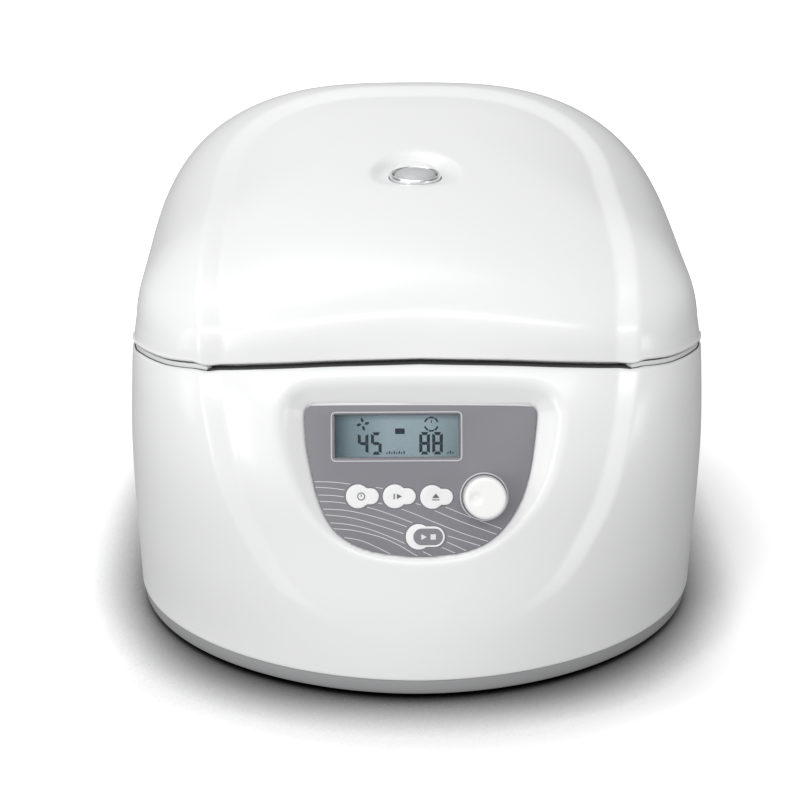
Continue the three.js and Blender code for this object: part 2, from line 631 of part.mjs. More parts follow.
function hingeSpring() {
  const turns = 7;
  const stepsPerTurn = 10;
  const halfLength = 36;
  const coilRadius = 4.2;
  const wireRadius = 0.85;
  const steps = turns * stepsPerTurn;
  return skin(Array.from({ length: steps + 1 }, (_, i) => {
    const angle = (2 * Math.PI * i) / stepsPerTurn;
    const x = -halfLength + (2 * halfLength * i) / steps;
    return spaced(4, wireRadius, [0, 0]).map(([outward, along]) => [
      x + along,
      HINGE_Y + (coilRadius + outward) * Math.cos(angle),
      HINGE_Z + (coilRadius + outward) * Math.sin(angle),
    ]);
  }));
}
part("hinge_spring", hingeSpring(), "steel");

// ---------- lid locks ----------
const lockBody = (x) => cut(
  add(
    box(about(x, 10), [-141.5, -122.5], [116, 134.6]),
    box(about(x, 7), [-145, -141], [117, 129])),
  box(about(x, 3.4), [-139.5, -110], [125.3, 130.7]));
for (const [tag, side] of SIDES) {
  const x = side * HOOK_X;
  part("lock_body_" + tag, lockBody(x), "dark");
  part("lock_bolt_" + tag, box(about(x, 3), [-138.2, -117.8], [125.7, 130.3]), "steel");
}

// ---------- chamber and rotor ----------
part("chamber_gasket", lathe([
  [105.5, 133.4], [109.6, 133.4], [109.6, 138.3], [115.4, 138.3], [115, 140.3], [113.6, 140.6],
  [106.6, 140.6], [105.5, 139.6],
], 44), "rubber");
part("chamber_bowl", lathe([
  [115.6, 133.1], [103.6, 133.1], [103.6, 80], [100, 71], [90, 67.5], [24, 67.5], [19.6, 69.6],
  [18.5, 73], [17.3, 73], [18.5, 68.6], [23.4, 66.3], [90, 66.3], [100.8, 70], [104.8, 79.6],
  [104.8, 131.9], [115.6, 131.9],
], 44), "steel");
part("guard_ring", lathe([
  [108.8, GUARD_Z], [108.8, 131.5], [107, 131.5], [107, 58.8], [88, 58.8], [88, GUARD_Z],
], 40), "steel");

function rotorBody() {
  const body = lathe([
    [6.2, 80.5], [26, 80.5], [34, 78.5], [58, 77], [74, 81.5], [91.5, 101], [96, 116], [96, 127],
    [94.6, 130], [90, 131], [84, 129.3], [40, 103.9], [31, 101], [6.2, 101],
  ], 48);
  const tubes = 12;
  const leaning = new THREE.Matrix4()
    .makeTranslation(62, 0, 116.6)
    .multiply(new THREE.Matrix4().makeRotationY(-degToRad(30)));
  return cut(body, ...Array.from({ length: tubes }, (_, i) => place(
    cylinder(8.6, [-28, 14], [0, 0], 12),
    turnedAboutRotor((2 * Math.PI * i) / tubes).multiply(leaning))));
}
part("rotor_body", rotorBody(), "dark");
part("rotor_nut", cut(
  lathe([
    [0, 113.4], [5.4, 113.4], [5.4, 101.3], [13.2, 101.3], [14, 102.3], [14, 117.6], [12.6, 119],
    [0, 119],
  ], 24),
  ...spaced(8, 15.2).map((centre) => cylinder(2.2, [104, 125], centre, 8))), "steel");

// ---------- motor ----------
part("motor_shaft", lathe([[0, 15], [5, 15], [5, 112.4], [4.4, 113.1], [0, 113.1]], 20), "steel");
part("rotor_magnet", lathe([[5.3, 21], [20, 21], [20, 42], [5.3, 42]], 28), "dark");
part("motor_can", lathe([
  [34, 14], [34, 51.7], [8.9, 51.7], [8.9, 44], [11.4, 44], [11.4, 49.2], [31.5, 49.2], [31.5, 14],
], 28), "steel");
part("motor_end_cap", lathe([
  [0, 10.5], [34, 10.5], [34, 13.7], [13, 13.7], [13, 20], [10.8, 20], [10.8, 13.9], [0, 13.9],
], 28), "steel");
const statorSlots = Array.from({ length: 9 }, (_, i) =>
  place(box([20, 28], about(0, 1.5), [16, 45]), turnedAboutRotor((i * 2 * Math.PI) / 9)));
part("motor_stator", cut(
  lathe([[21, 18], [31.2, 18], [31.2, 43.5], [21, 43.5]], 27),
  ...statorSlots), "copper");
part("bearing_upper", lathe([[5.3, 44.3], [8.6, 44.3], [8.6, 51.4], [5.3, 51.4]], 24), "steel");
part("bearing_lower", lathe([[5.3, 14.2], [10.5, 14.2], [10.5, 19.8], [5.3, 19.8]], 24), "steel");
part("motor_plate", lathe([[9.5, 52], [74, 52], [74, 55], [9.5, 55]], 32), "steel");
spaced(3, DAMPER_CIRCLE, ROTOR_AXIS, Math.PI / 2).forEach((centre, i) => {
  part("damper_" + (i + 1), lathe([
    [0, DAMPER_Z], [9, DAMPER_Z], [9, 44.4], [7.6, 46.8], [9, 49.3], [9, 51.7], [0, 51.7],
  ], 18, centre), "rubber");
});

// ---------- power board ----------
part("power_board", add(
  box([-68, 50], [117, 163], [BOARD_Z, 17.6]),
  box([-58, -28], [124, 150], [17, 38]),
  cylinder(9, [17, 40], [-12, 132], 20),
  cylinder(7, [17, 34], [8, 128], 18),
  box([22, 44], [150, 160], [17, 30]),
  box([-8, 14], [148, 160], [17, 27])), "green");
const fins = [0, 1, 2, 3, 4].map((i) => box([22 + i * 5, 24 + i * 5], [122, 142], [21, 42]));
part("heat_sink", add(box([22, 44], [122, 142], [18, 22]), ...fins), "steel");

export default root;
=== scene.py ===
"""Benchtop centrifuge: white housing, hinged lid, twelve-place rotor and sloping control panel.

Geometry is in millimetres and is turned into metres by MM; the stage is in metres.
+Z is up and the feet stand on z = 0. The control panel is at the front (-Y), the hinge and the
mains plate at the rear (+Y). Pieces named left are on -X. The rotor axis is vertical.
"""
import math

import bmesh
import bpy
import numpy as np
from mathutils import Matrix, Vector


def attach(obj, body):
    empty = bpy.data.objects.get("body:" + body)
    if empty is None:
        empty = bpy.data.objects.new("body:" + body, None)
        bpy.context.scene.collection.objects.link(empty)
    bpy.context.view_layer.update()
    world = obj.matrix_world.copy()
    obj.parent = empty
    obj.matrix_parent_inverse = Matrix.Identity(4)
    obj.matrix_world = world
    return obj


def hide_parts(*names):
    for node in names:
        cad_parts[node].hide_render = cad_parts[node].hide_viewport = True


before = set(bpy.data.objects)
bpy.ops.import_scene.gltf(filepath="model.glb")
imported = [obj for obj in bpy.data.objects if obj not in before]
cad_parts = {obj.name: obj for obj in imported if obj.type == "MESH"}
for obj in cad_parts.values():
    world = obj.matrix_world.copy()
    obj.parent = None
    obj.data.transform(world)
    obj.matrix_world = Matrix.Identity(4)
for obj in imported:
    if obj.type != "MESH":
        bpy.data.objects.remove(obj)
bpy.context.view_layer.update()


MM = 0.001

# ------------------------------------------------------------------ driving dimensions (mm)
OUTLINE_Y = -60.0       # centre of the body outline
# height, half width, front reach, front exponent, rear reach
OUTLINE_Z, HALF_WIDTH, FRONT_REACH, FRONT_POWER, REAR_REACH = zip(
    (0, 148.6, 122.5, 1.93, 239),
    (12, 149.6, 122.5, 1.93, 242.5),
    (60, 150.2, 118.5, 2.25, 242.5),
    (100, 149.6, 113.5, 2.65, 242.0),
    (140, 147.3, 100.5, 3.1, 216),
    (166, 145.6, 84.5, 3.3, 208),
    (190, 144.0, 66.0, 3.4, 200),
)
REAR_POWER = 4.0
# angle from straight ahead (degrees), height of the seam between body and lid
SEAM_ANGLE, SEAM_HEIGHT = zip(
    (0, 165.9), (25.6, 165), (42, 163.2), (50.8, 161.4), (58.4, 159.6), (62, 158.9),
    (65, 158.7), (70, 158), (76, 155.5), (90, 151), (120, 147.5), (180, 146),
)
GAP = 1.2               # half the gap between body and lid
DOME_Y = 57.5           # the lid shrinks towards this line as it rises
TOP_Z, TOP_SLOPE, TOP_BEND_Y = 247.9, 0.148, 94.6
WALL, RECESS, SPLIT = 3.0, 3.5, 12.0    # wall, depth of the sunk faces, foot of the housing
AXIS_X, AXIS_Y = 0.0, -12.0
AXIS = (AXIS_X, AXIS_Y, 0)
DECK_Z, DECK_HOLE = 138.0, 110.0
WINDOW_Y, WINDOW_Z, WINDOW_RADIUS = -24.5, 223.8, 14.6
WINDOW_AXIS = (0, WINDOW_Y, 0)
PANEL_TILT = math.radians(22)
PANEL_ORIGIN = np.array([0.0, -171.4, 77.0])
PANEL_ACROSS = np.array([1.0, 0.0, 0.0])
PANEL_UP = np.array([0.0, math.sin(PANEL_TILT), math.cos(PANEL_TILT)])
PANEL_OUT = np.array([0.0, -math.cos(PANEL_TILT), math.sin(PANEL_TILT)])
HINGE_Y, HINGE_Z = 168.0, 148.0
REAR_Y, REAR_Z = 174.7, 58.5            # face and mid height of the rear plate
HOOK_X, HOOK_Y = 84.0, -113.0
SIDES = (("left", -1), ("right", 1))

# images of local X, Y and Z
UP = [[1, 0, 0], [0, 1, 0], [0, 0, 1]]
DOWN = [[1, 0, 0], [0, -1, 0], [0, 0, -1]]
REAR_BASIS = [[-1, 0, 0], [0, 0, 1], [0, 1, 0]]
X_BASIS = [[0, 1, 0], [0, 0, 1], [1, 0, 0]]
PANEL_BASIS = [PANEL_ACROSS, PANEL_UP, PANEL_OUT]


# ------------------------------------------------------------------ curves and blends
def curve(x, knots, values):
    """Smooth curve through the knots that never overshoots them."""
    knots, values = np.array(knots, float), np.array(values, float)
    x = np.clip(x, knots[0], knots[-1])
    slope = np.diff(values) / np.diff(knots)
    tangent = np.zeros_like(values)
    product = slope[:-1] * slope[1:]
    tangent[1:-1] = np.where(product > 0, 2 * product / (slope[:-1] + slope[1:] + 1e-12), 0)
    tangent[0], tangent[-1] = slope[0], slope[-1]
    i = np.clip(np.searchsorted(knots, x, side="right") - 1, 0, len(knots) - 2)
    step = knots[i + 1] - knots[i]
    t = (x - knots[i]) / step
    return (
        (2 * t**3 - 3 * t**2 + 1) * values[i]
        + (t**3 - 2 * t**2 + t) * step * tangent[i]
        + (-2 * t**3 + 3 * t**2) * values[i + 1]
        + (t**3 - t**2) * step * tangent[i + 1]
    )


def smoothstep(low, high, value):
    t = np.clip((value - low) / (high - low), 0, 1)
    return t * t * t * (t * (6 * t - 15) + 10)


def ramp(t, ease=0.16):
    """Straight ramp from 0 to 1 with both ends rounded over ease."""
    def soft(x):
        return np.where(x < -ease, 0, np.where(x > ease, x, (x + ease) ** 2 / (4 * ease)))
    return soft(t) - soft(t - 1)


def smooth_min(first, second, blend):
    mix = np.clip(0.5 + 0.5 * (second - first) / blend, 0, 1)
    return second * (1 - mix) + first * mix - blend * mix * (1 - mix)


# ------------------------------------------------------------------ body and lid surfaces
def outline(phi, z, inset=0.0):
    """Plan of the body: a superellipse with its own reach and power in front and behind."""
    width, front = curve(z, OUTLINE_Z, HALF_WIDTH) - inset, curve(z, OUTLINE_Z, FRONT_REACH) - inset
    power, rear = curve(z, OUTLINE_Z, FRONT_POWER), curve(z, OUTLINE_Z, REAR_REACH) - inset
    cos, sin = np.cos(phi), np.sin(phi)
    reach, power = np.where(sin < 0, front, rear), np.where(sin < 0, power, REAR_POWER)
    radius = 1 / ((np.abs(cos) / width) ** power + (np.abs(sin) / reach) ** power) ** (1 / power)
    return radius * cos, OUTLINE_Y + radius * sin


def seam_z(phi):
    angle = np.degrees(np.arccos(np.clip(-np.sin(phi), -1, 1)))
    return curve(angle, SEAM_ANGLE, SEAM_HEIGHT)


def body_recess(x, z):
    """How far, 0 to 1, a front point lies in the sunk face of the body."""
    half = curve(z, [34, 38, 46, 58, 78, 104.5, 134, 166], [10, 32, 50, 67, 80, 91.5, 98.5, 103.5])
    return ramp((half - np.abs(x)) / 9.5 + 0.5) * smoothstep(30, 96, z)


def lid_recess(x, y):
    """How far, 0 to 1, a point lies in the sunk face of the lid."""
    front = np.abs(x) / curve(y, [-145, -95, -60, -15], [101.5, 104, 103.5, 102])
    rear = ((np.abs(x) / 102) ** 3 + (np.maximum(y + 15, 0) / 98) ** 3) ** (1 / 3)
    return ramp((1 - np.where(y < -15, front, rear)) * 102 / 9.5 + 0.5)


def top_z(x, y):
    past = y - TOP_BEND_Y
    slope = TOP_SLOPE * 18 * np.log1p(np.exp(-past / 18))
    return TOP_Z - slope - 0.0006 * np.maximum(past, 0) ** 2 - 0.00019 * x * x


def dome_power(phi):
    """Superellipse exponent of the lid's upright section: sides, then full front or rear."""
    side, front, rear = 2.56, 4.6, 3.03
    sin = np.sin(phi)
    weight = np.abs(sin) ** 3
    return np.where(sin < 0, side + (front - side) * weight, side + (rear - side) * weight)


# share of the lid's rise, widening of the lid there
LID_WIDEN = (
    [0, 0.11, 0.2, 0.29, 0.38, 0.47, 0.56, 0.71, 0.84, 1],
    [1, 0.991, 0.99, 0.996, 1.0066, 1.019, 1.028, 1.042, 1.05, 1.062],
)


def plain_dome(phi, s):
    """Lid surface before recess and window; s runs from 0 at the seam to 1 at the crown."""
    seam = seam_z(phi)
    rim_x, rim_y = outline(phi, seam)
    sin = np.sin(phi)
    pinch = np.where(sin < 0, 0.06 * np.abs(sin) ** 3, 0)
    power = dome_power(phi)
    rise = np.sin(s * math.pi / 2) ** (2 / power)
    reach = np.maximum(np.cos(s * math.pi / 2), 0) ** (2 / power) * (1 - pinch * rise)
    x = rim_x * reach * curve(rise, *LID_WIDEN)
    y = DOME_Y + (rim_y - DOME_Y) * reach
    return np.stack([x, y, (seam + GAP) * (1 - rise) + top_z(x, y) * rise], -1)


def dome(phi, s, inward=0.0):
    point = plain_dome(phi, s)
    step = 1e-3
    inner_s = np.clip(s, 0.004, 0.985)
    around_phi = plain_dome(phi + step, inner_s) - plain_dome(phi - step, inner_s)
    normal = np.cross(around_phi, plain_dome(phi, inner_s + step) - plain_dome(phi, inner_s - step))
    normal /= np.linalg.norm(normal, axis=-1, keepdims=True) + 1e-12
    # straight up at the crown, level at the seam
    crown = smoothstep(0.985, 1.0, s)[..., None]
    normal = normal * (1 - crown) + np.array([0, 0, 1.0]) * crown
    normal /= np.linalg.norm(normal, axis=-1, keepdims=True)
    normal[..., 2] = np.where(s < 1e-6, 0, normal[..., 2])
    normal /= np.linalg.norm(normal, axis=-1, keepdims=True)
    depth = RECESS * lid_recess(point[..., 0], point[..., 1]) + inward
    point = point - normal * depth[..., None]
    # flatten the crown around the window
    from_window = np.hypot(point[..., 0], point[..., 1] - WINDOW_Y)
    flat_part = (1 - smoothstep(17, 27, from_window)) * (point[..., 2] > 200)
    drop = np.minimum(point[..., 2], WINDOW_Z - inward) - point[..., 2]
    point[..., 2] = point[..., 2] + drop * flat_part
    return point


# ------------------------------------------------------------------ plane outlines
def chaikin(points, times):
    for _ in range(times):
        ahead = np.roll(points, -1, axis=0)
        pairs = [0.75 * points + 0.25 * ahead, 0.25 * points + 0.75 * ahead]
        points = np.stack(pairs, 1).reshape(-1, 2)
    return points


def resample(points, n):
    closed = np.vstack([points, points[:1]])
    length = np.r_[0, np.cumsum(np.hypot(*np.diff(closed, axis=0).T))]
    at = np.linspace(0, length[-1], n, endpoint=False)
    return np.stack([np.interp(at, length, closed[:, 0]), np.interp(at, length, closed[:, 1])], 1)


def offset(points, distance):
    """Move a closed outline outward, or inward when negative."""
    tangent = np.roll(points, -1, axis=0) - np.roll(points, 1, axis=0)
    tangent /= np.hypot(tangent[:, 0], tangent[:, 1])[:, None] + 1e-12
    side = 1 if signed_area(points) > 0 else -1
    return points + side * distance * np.stack([tangent[:, 1], -tangent[:, 0]], 1)


def signed_area(points):
    x, y = points[:, 0], points[:, 1]
    return 0.5 * np.sum(x * np.roll(y, -1) - np.roll(x, -1) * y)


def signed_distance(points, loop):
    """Distance of points to a closed outline, negative inside."""
    distance = np.full(len(points), 1e9)
    inside = np.zeros(len(points), bool)
    for (x0, y0), (x1, y1) in zip(loop, np.roll(loop, -1, axis=0)):
        edge = np.array([x1 - x0, y1 - y0])
        away = points - np.array([x0, y0])
        t = np.clip((away @ edge) / (edge @ edge + 1e-12), 0, 1)
        distance = np.minimum(distance, np.hypot(*(away - t[:, None] * edge).T))
        crosses = (y0 > points[:, 1]) != (y1 > points[:, 1])
        x_cross = x0 + (points[:, 1] - y0) / (y1 - y0 + 1e-12) * (x1 - x0)
        inside ^= crosses & (points[:, 0] < x_cross)
    return np.where(inside, -distance, distance)


def fillet(points, radius, seg=5, closed=True):
    """Round the corners of a 2-D polyline; radius is one value or one per corner."""
    points = [np.array(p, float) for p in points]
    n, out = len(points), []
    for i, corner in enumerate(points):
        wanted = radius[i] if isinstance(radius, (list, tuple)) else radius
        if (not closed and i in (0, n - 1)) or wanted <= 0:
            out.append(corner)
            continue
        back, ahead = points[i - 1] - corner, points[(i + 1) % n] - corner
        back_length, ahead_length = np.linalg.norm(back), np.linalg.norm(ahead)
        back, ahead = back / back_length, ahead / ahead_length
        angle = math.acos(float(np.clip(back @ ahead, -1, 1)))
        if angle > math.pi - 0.03:
            out.append(corner)
            continue
        trim = min(wanted / math.tan(angle / 2), back_length * 0.48, ahead_length * 0.48)
        fitted = trim * math.tan(angle / 2)
        bisector = (back + ahead) / np.linalg.norm(back + ahead)
        centre = corner + bisector * (fitted / math.sin(angle / 2))
        start, end = corner + back * trim, corner + ahead * trim
        first, last = math.atan2(*(start - centre)[::-1]), math.atan2(*(end - centre)[::-1])
        sweep = (last - first + math.pi) % (2 * math.pi) - math.pi
        for k in range(seg + 1):
            turn = first + sweep * k / seg
            out.append(centre + fitted * np.array([math.cos(turn), math.sin(turn)]))
    return out


def disc(radius, n, x=0.0, y=0.0):
    angle = np.arange(n) * 2 * math.pi / n
    return np.stack([x + radius * np.cos(angle), y + radius * np.sin(angle)], 1)


def pill(x0, x1, radius, y, n):
    angle = np.linspace(-math.pi / 2, math.pi / 2, n)
    right = [x1 - radius + radius * np.cos(angle), y + radius * np.sin(angle)]
    angle = angle + math.pi
    left = [x0 + radius + radius * np.cos(angle), y + radius * np.sin(angle)]
    return np.vstack([np.stack(right, 1), np.stack(left, 1)])


def rounded(x0, x1, y0, y1, radius, seg=6):
    return np.array(fillet([(x0, y0), (x1, y0), (x1, y1), (x0, y1)], radius, seg))


def side_normals(path):
    """Unit normals on the left of an open 2-D path."""
    tangent = np.gradient(path, axis=0)
    tangent /= np.linalg.norm(tangent, axis=1)[:, None]
    return np.stack([-tangent[:, 1], tangent[:, 0]], 1)


def ring(plan, z):
    return np.column_stack([plan, np.broadcast_to(z, len(plan))])


def around(radius, count, start=0.0):
    """Evenly spaced plan positions round the rotor axis."""
    angles = [start + i * 2 * math.pi / count for i in range(count)]
    return [(AXIS_X + radius * math.cos(a), AXIS_Y + radius * math.sin(a)) for a in angles]


# ------------------------------------------------------------------ geometry: (vertices, faces)
def skin(rings, loop=False):
    """Join rings of points by faces; a ring of one point is a pole, open ends are capped."""
    verts, faces, start = [], [], []
    for points in rings:
        start.append(len(verts))
        verts.extend(np.asarray(points, float).tolist())
    n = max(len(points) for points in rings)
    count = len(rings)
    for k in range(count if loop else count - 1):
        after = (k + 1) % count
        low, high = start[k], start[after]
        for i in range(n):
            j = (i + 1) % n
            if len(rings[k]) == 1:
                faces.append((low, high + j, high + i))
            elif len(rings[after]) == 1:
                faces.append((low + i, low + j, high))
            else:
                faces.append((low + i, low + j, high + j, high + i))
    if not loop:
        if len(rings[0]) > 1:
            faces.append(tuple(range(start[0], start[0] + n))[::-1])
        if len(rings[-1]) > 1:
            faces.append(tuple(range(start[-1], start[-1] + n)))
    return verts, faces


def extrude(plan, levels, place=lambda points: points):
    """Solid plate from (outset, height) levels, bottom to top."""
    return skin([place(ring(offset(plan, out), height)) for out, height in levels])


def turned_ring(radius, z, n):
    return np.array([[0.0, 0.0, z]]) if radius < 1e-6 else ring(disc(radius, n), z)


def revolve(profile, n, loop=False, centre=(0, 0, 0), basis=UP, radius=0.4, seg=4):
    """Turn a (radius, height) profile; its corners are rounded unless radius is None."""
    if radius is not None:
        profile = fillet(profile, radius, seg, closed=loop)
    verts, faces = skin([turned_ring(r, z, n) for r, z in profile], loop)
    return np.array(verts) @ np.array(basis, float) + np.array(centre, float), faces


def cylinder(radius, z0, z1, x=0, y=0, n=48, edge=0.3, seg=3):
    profile = [(0, z0), (radius, z0), (radius, z1), (0, z1)]
    return revolve(profile, n, centre=(x, y, 0), radius=edge, seg=seg)


def hinge_rod(radius, x0, x1, n=48, edge=None):
    """Cylinder along X on the hinge axis."""
    profile = [(0, x0), (radius, x0), (radius, x1), (0, x1)]
    return revolve(profile, n, centre=(0, HINGE_Y, HINGE_Z), basis=X_BASIS, radius=edge, seg=3)


def sleeve(r0, r1, z0, z1, n, edge, seg=3):
    """Tube on the rotor axis."""
    return revolve([(r0, z0), (r1, z0), (r1, z1), (r0, z1)], n, True, AXIS, radius=edge, seg=seg)


def box(x0, x1, y0, y1, z0, z1):
    corners = ((x0, y0), (x1, y0), (x1, y1), (x0, y1))
    faces = [(0, 3, 2, 1), (4, 5, 6, 7), (0, 1, 5, 4), (1, 2, 6, 5), (2, 3, 7, 6), (3, 0, 4, 7)]
    return [(x, y, z) for z in (z0, z1) for x, y in corners], faces


def rounded_box(x0, x1, y0, y1, z0, z1, radius):
    mesh = bmesh.new()
    points, faces = box(x0, x1, y0, y1, z0, z1)
    verts = [mesh.verts.new(p) for p in points]
    for face in faces:
        mesh.faces.new([verts[i] for i in face])
    radius = min(radius, (x1 - x0) * 0.45, (y1 - y0) * 0.45, (z1 - z0) * 0.45)
    bmesh.ops.bevel(mesh, geom=list(mesh.edges), offset=radius, segments=3, profile=0.5,
                    affect="EDGES", clamp_overlap=True)
    mesh.verts.index_update()
    out = ([tuple(v.co) for v in mesh.verts], [tuple(v.index for v in f.verts) for f in mesh.faces])
    mesh.free()
    return out


def tube(path, radius, n):
    """Round wire along a path of points."""
    path = np.asarray(path, float)
    tangent = np.gradient(path, axis=0)
    tangent /= np.linalg.norm(tangent, axis=1)[:, None]
    upright = abs(tangent[0] @ [0, 0, 1]) >= 0.9
    side = np.cross(tangent[0], np.array([1.0, 0, 0] if upright else [0, 0, 1.0]))
    side /= np.linalg.norm(side)
    angle = (np.arange(n) * 2 * math.pi / n)[:, None]
    rings = []
    for point, along in zip(path, tangent):
        side = side - (side @ along) * along
        side /= np.linalg.norm(side)
        other = np.cross(along, side)
        rings.append(point + radius * (np.cos(angle) * side + np.sin(angle) * other))
    return skin(rings)


def placed(geo, place):
    return place(np.array(geo[0], float)), geo[1]


def spun(geo, angle, x=AXIS_X, y=AXIS_Y):
    """Turn geometry about Z, then move its origin to (x, y)."""
    cos, sin = math.cos(angle), math.sin(angle)
    return np.array(geo[0]) @ np.array([[cos, sin, 0], [-sin, cos, 0], [0, 0, 1]]) + [x, y, 0], geo[1]


def join(geos):
    verts, faces = [], []
    for points, polygons in geos:
        first = len(verts)
        verts.extend(np.asarray(points, float).tolist())
        faces.extend([tuple(i + first for i in polygon) for polygon in polygons])
    return verts, faces


def on_panel(point):
    """(across, up, out) of the control panel to the machine's frame."""
    point = np.asarray(point, float)
    across, up, out = point[..., 0:1], point[..., 1:2], point[..., 2:3]
    return PANEL_ORIGIN + across * PANEL_ACROSS + up * PANEL_UP + out * PANEL_OUT


def on_rear(point):
    """(towards -X, up, out) of the rear plate to the machine's frame."""
    point = np.asarray(point, float)
    return np.stack([-point[..., 0], REAR_Y + point[..., 2], REAR_Z + point[..., 1]], -1)


def panel_box(*sizes):
    return placed(rounded_box(*sizes), on_panel)


# ------------------------------------------------------------------ objects
def new_object(name, geo):
    mesh = bpy.data.meshes.new(name)
    verts = (np.asarray(geo[0], float) * MM).tolist()
    mesh.from_pydata([tuple(p) for p in verts], [], [tuple(f) for f in geo[1]])
    mesh.update()
    o = bpy.data.objects.new(name, mesh)
    bpy.context.scene.collection.objects.link(o)
    return o


def face_outward(o):
    mesh = bmesh.new()
    mesh.from_mesh(o.data)
    bmesh.ops.recalc_face_normals(mesh, faces=mesh.faces)
    if mesh.calc_volume(signed=True) < 0:
        bmesh.ops.reverse_faces(mesh, faces=mesh.faces)
    mesh.to_mesh(o.data)
    mesh.free()


def dress(o, mat, angle):
    mesh = o.data
    mesh.materials.clear()
    mesh.materials.append(FINISHES[mat][0])
    mesh.polygons.foreach_set("use_smooth", [True] * len(mesh.polygons))
    mesh.set_sharp_from_angle(angle=math.radians(angle))
    mesh.update()


def register(o, replaces, body):
    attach(o, body)
    if replaces:
        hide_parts(replaces)


def piece(name, geo, mat, replaces=None, body="chassis", angle=32):
    """Finished object straight from geometry."""
    o = new_object(name, geo)
    o.data.validate(clean_customdata=False)
    o.data.update()
    dress(o, mat, angle)
    face_outward(o)
    register(o, replaces, body)


def lathe(name, profile, n, mat, replaces=None, body="chassis", **shape):
    piece(name, revolve(profile, n, **shape), mat, replaces, body, angle=34)


def solid(name, geo):
    """Bare object that is still to be cut or welded."""
    o = new_object(name, geo)
    face_outward(o)
    return o


def finish(o, mat, replaces=None, body="chassis", angle=32):
    dress(o, mat, angle)
    register(o, replaces, body)


def discard(o):
    mesh = o.data
    bpy.data.objects.remove(o)
    bpy.data.meshes.remove(mesh)


def bake(o):
    graph = bpy.context.evaluated_depsgraph_get()
    graph.update()
    mesh = bpy.data.meshes.new_from_object(o.evaluated_get(graph))
    old = o.data
    o.modifiers.clear()
    o.data = mesh
    bpy.data.meshes.remove(old)


def boolean(o, geos, operation, solver):
    tools = [solid("tool", geo) for geo in geos]
    for tool in tools:
        modifier = o.modifiers.new("boolean", "BOOLEAN")
        modifier.operation, modifier.object, modifier.solver = operation, tool, solver
    bake(o)
    for tool in tools:
        discard(tool)


def carve(o, *geos, solver="MANIFOLD"):
    boolean(o, geos, "DIFFERENCE", solver)


def weld(o, geo):
    boolean(o, [geo], "UNION", "MANIFOLD")


def bevel(o, width, angle=35):
    modifier = o.modifiers.new("bevel", "BEVEL")
    modifier.width, modifier.segments = width * MM, 2
    modifier.limit_method, modifier.angle_limit = "ANGLE", math.radians(angle)
    modifier.use_clamp_overlap = True
    modifier.miter_outer = "MITER_ARC"
    bake(o)


def take_geometry(o):
    """Read a solid back as geometry and remove it."""
    verts = np.array([tuple(v.co) for v in o.data.vertices]) / MM
    faces = [tuple(p.vertices) for p in o.data.polygons]
    discard(o)
    return verts, faces


def screws(name, points, basis, radius, height, mat="steel", body="chassis"):
    """Domed screw heads, each cut with a cross."""
    # radius and height as shares of the head's
    dome_shares = [(1, 0.3), (0.93, 0.62), (0.72, 0.88), (0.4, 1), (0, 1.02)]
    profile = [(0, -0.3), (radius, -0.3)] + [(radius * r, height * h) for r, h in dome_shares]
    half, arm, floor = radius * 0.13, radius * 0.56, height * 0.3
    heads = []
    for point in points:
        o = solid("screw", revolve(profile, 40, radius=None))
        carve(o, box(-arm, arm, -half, half, floor, height * 2),
              box(-half, half, -arm, arm, floor, height * 2), solver="EXACT")
        heads.append(placed(take_geometry(o),
                            lambda p: p @ np.array(basis, float) + np.array(point, float)))
    piece(name, join(heads), mat, body=body, angle=30)


# ------------------------------------------------------------------ materials
def set_inputs(tree, node, inputs):
    for key, value in inputs.items():
        if isinstance(value, bpy.types.NodeSocket):
            tree.links.new(value, node.inputs[key])
        else:
            node.inputs[key].default_value = value


def add_node(tree, kind, inputs=None, **settings):
    node = tree.nodes.new("ShaderNode" + kind)
    for key, value in settings.items():
        setattr(node, key, value)
    set_inputs(tree, node, inputs or {})
    return node


def add_math(tree, operation, *values):
    return add_node(tree, "Math", dict(enumerate(values)), operation=operation).outputs[0]


def new_material(name, principled=True):
    """Returns the material, its tree, and its Principled or, without one, its output node."""
    material = bpy.data.materials.new(name)
    material.use_nodes = True
    nodes = material.node_tree.nodes
    shader = nodes["Principled BSDF"]
    if principled:
        return material, material.node_tree, shader
    nodes.remove(shader)
    return material, material.node_tree, nodes["Material Output"]


def varied_colour(tree, factor, colour, vary):
    low, high = (np.clip(np.array(colour) * k, 0, 1) for k in (1 - vary, 1 + vary))
    return add_node(tree, "Mix", {"A": (*low, 1), "B": (*high, 1), "Factor": factor},
                    data_type="RGBA").outputs["Result"]


def plastic(name, colour, rough, coat=0.0, grain=2200.0, bump=0.02, vary=0.02, spec=0.5,
            mottle=9.0):
    """Plastic with a slow mottle in colour and roughness and a fine grain in relief."""
    material, tree, shader = new_material(name)
    place = add_node(tree, "TexCoord").outputs["Object"]
    slow = add_node(tree, "TexNoise", {"Scale": mottle, "Detail": 3, "Vector": place}).outputs["Fac"]
    tone = varied_colour(tree, slow, colour, vary)
    fine = add_node(tree, "TexNoise", {"Scale": grain, "Detail": 2, "Vector": place}).outputs["Fac"]
    roughness = add_node(tree, "MapRange", {
        "To Min": rough - 0.05, "To Max": rough + 0.05, "Value": slow})
    relief = add_node(tree, "Bump", {"Strength": bump, "Distance": 0.0002, "Height": fine})
    set_inputs(tree, shader, {
        "Base Color": tone, "Roughness": roughness.outputs["Result"],
        "Normal": relief.outputs["Normal"], "Coat Weight": coat, "Coat Roughness": 0.12,
        "Specular IOR Level": spec})
    return material


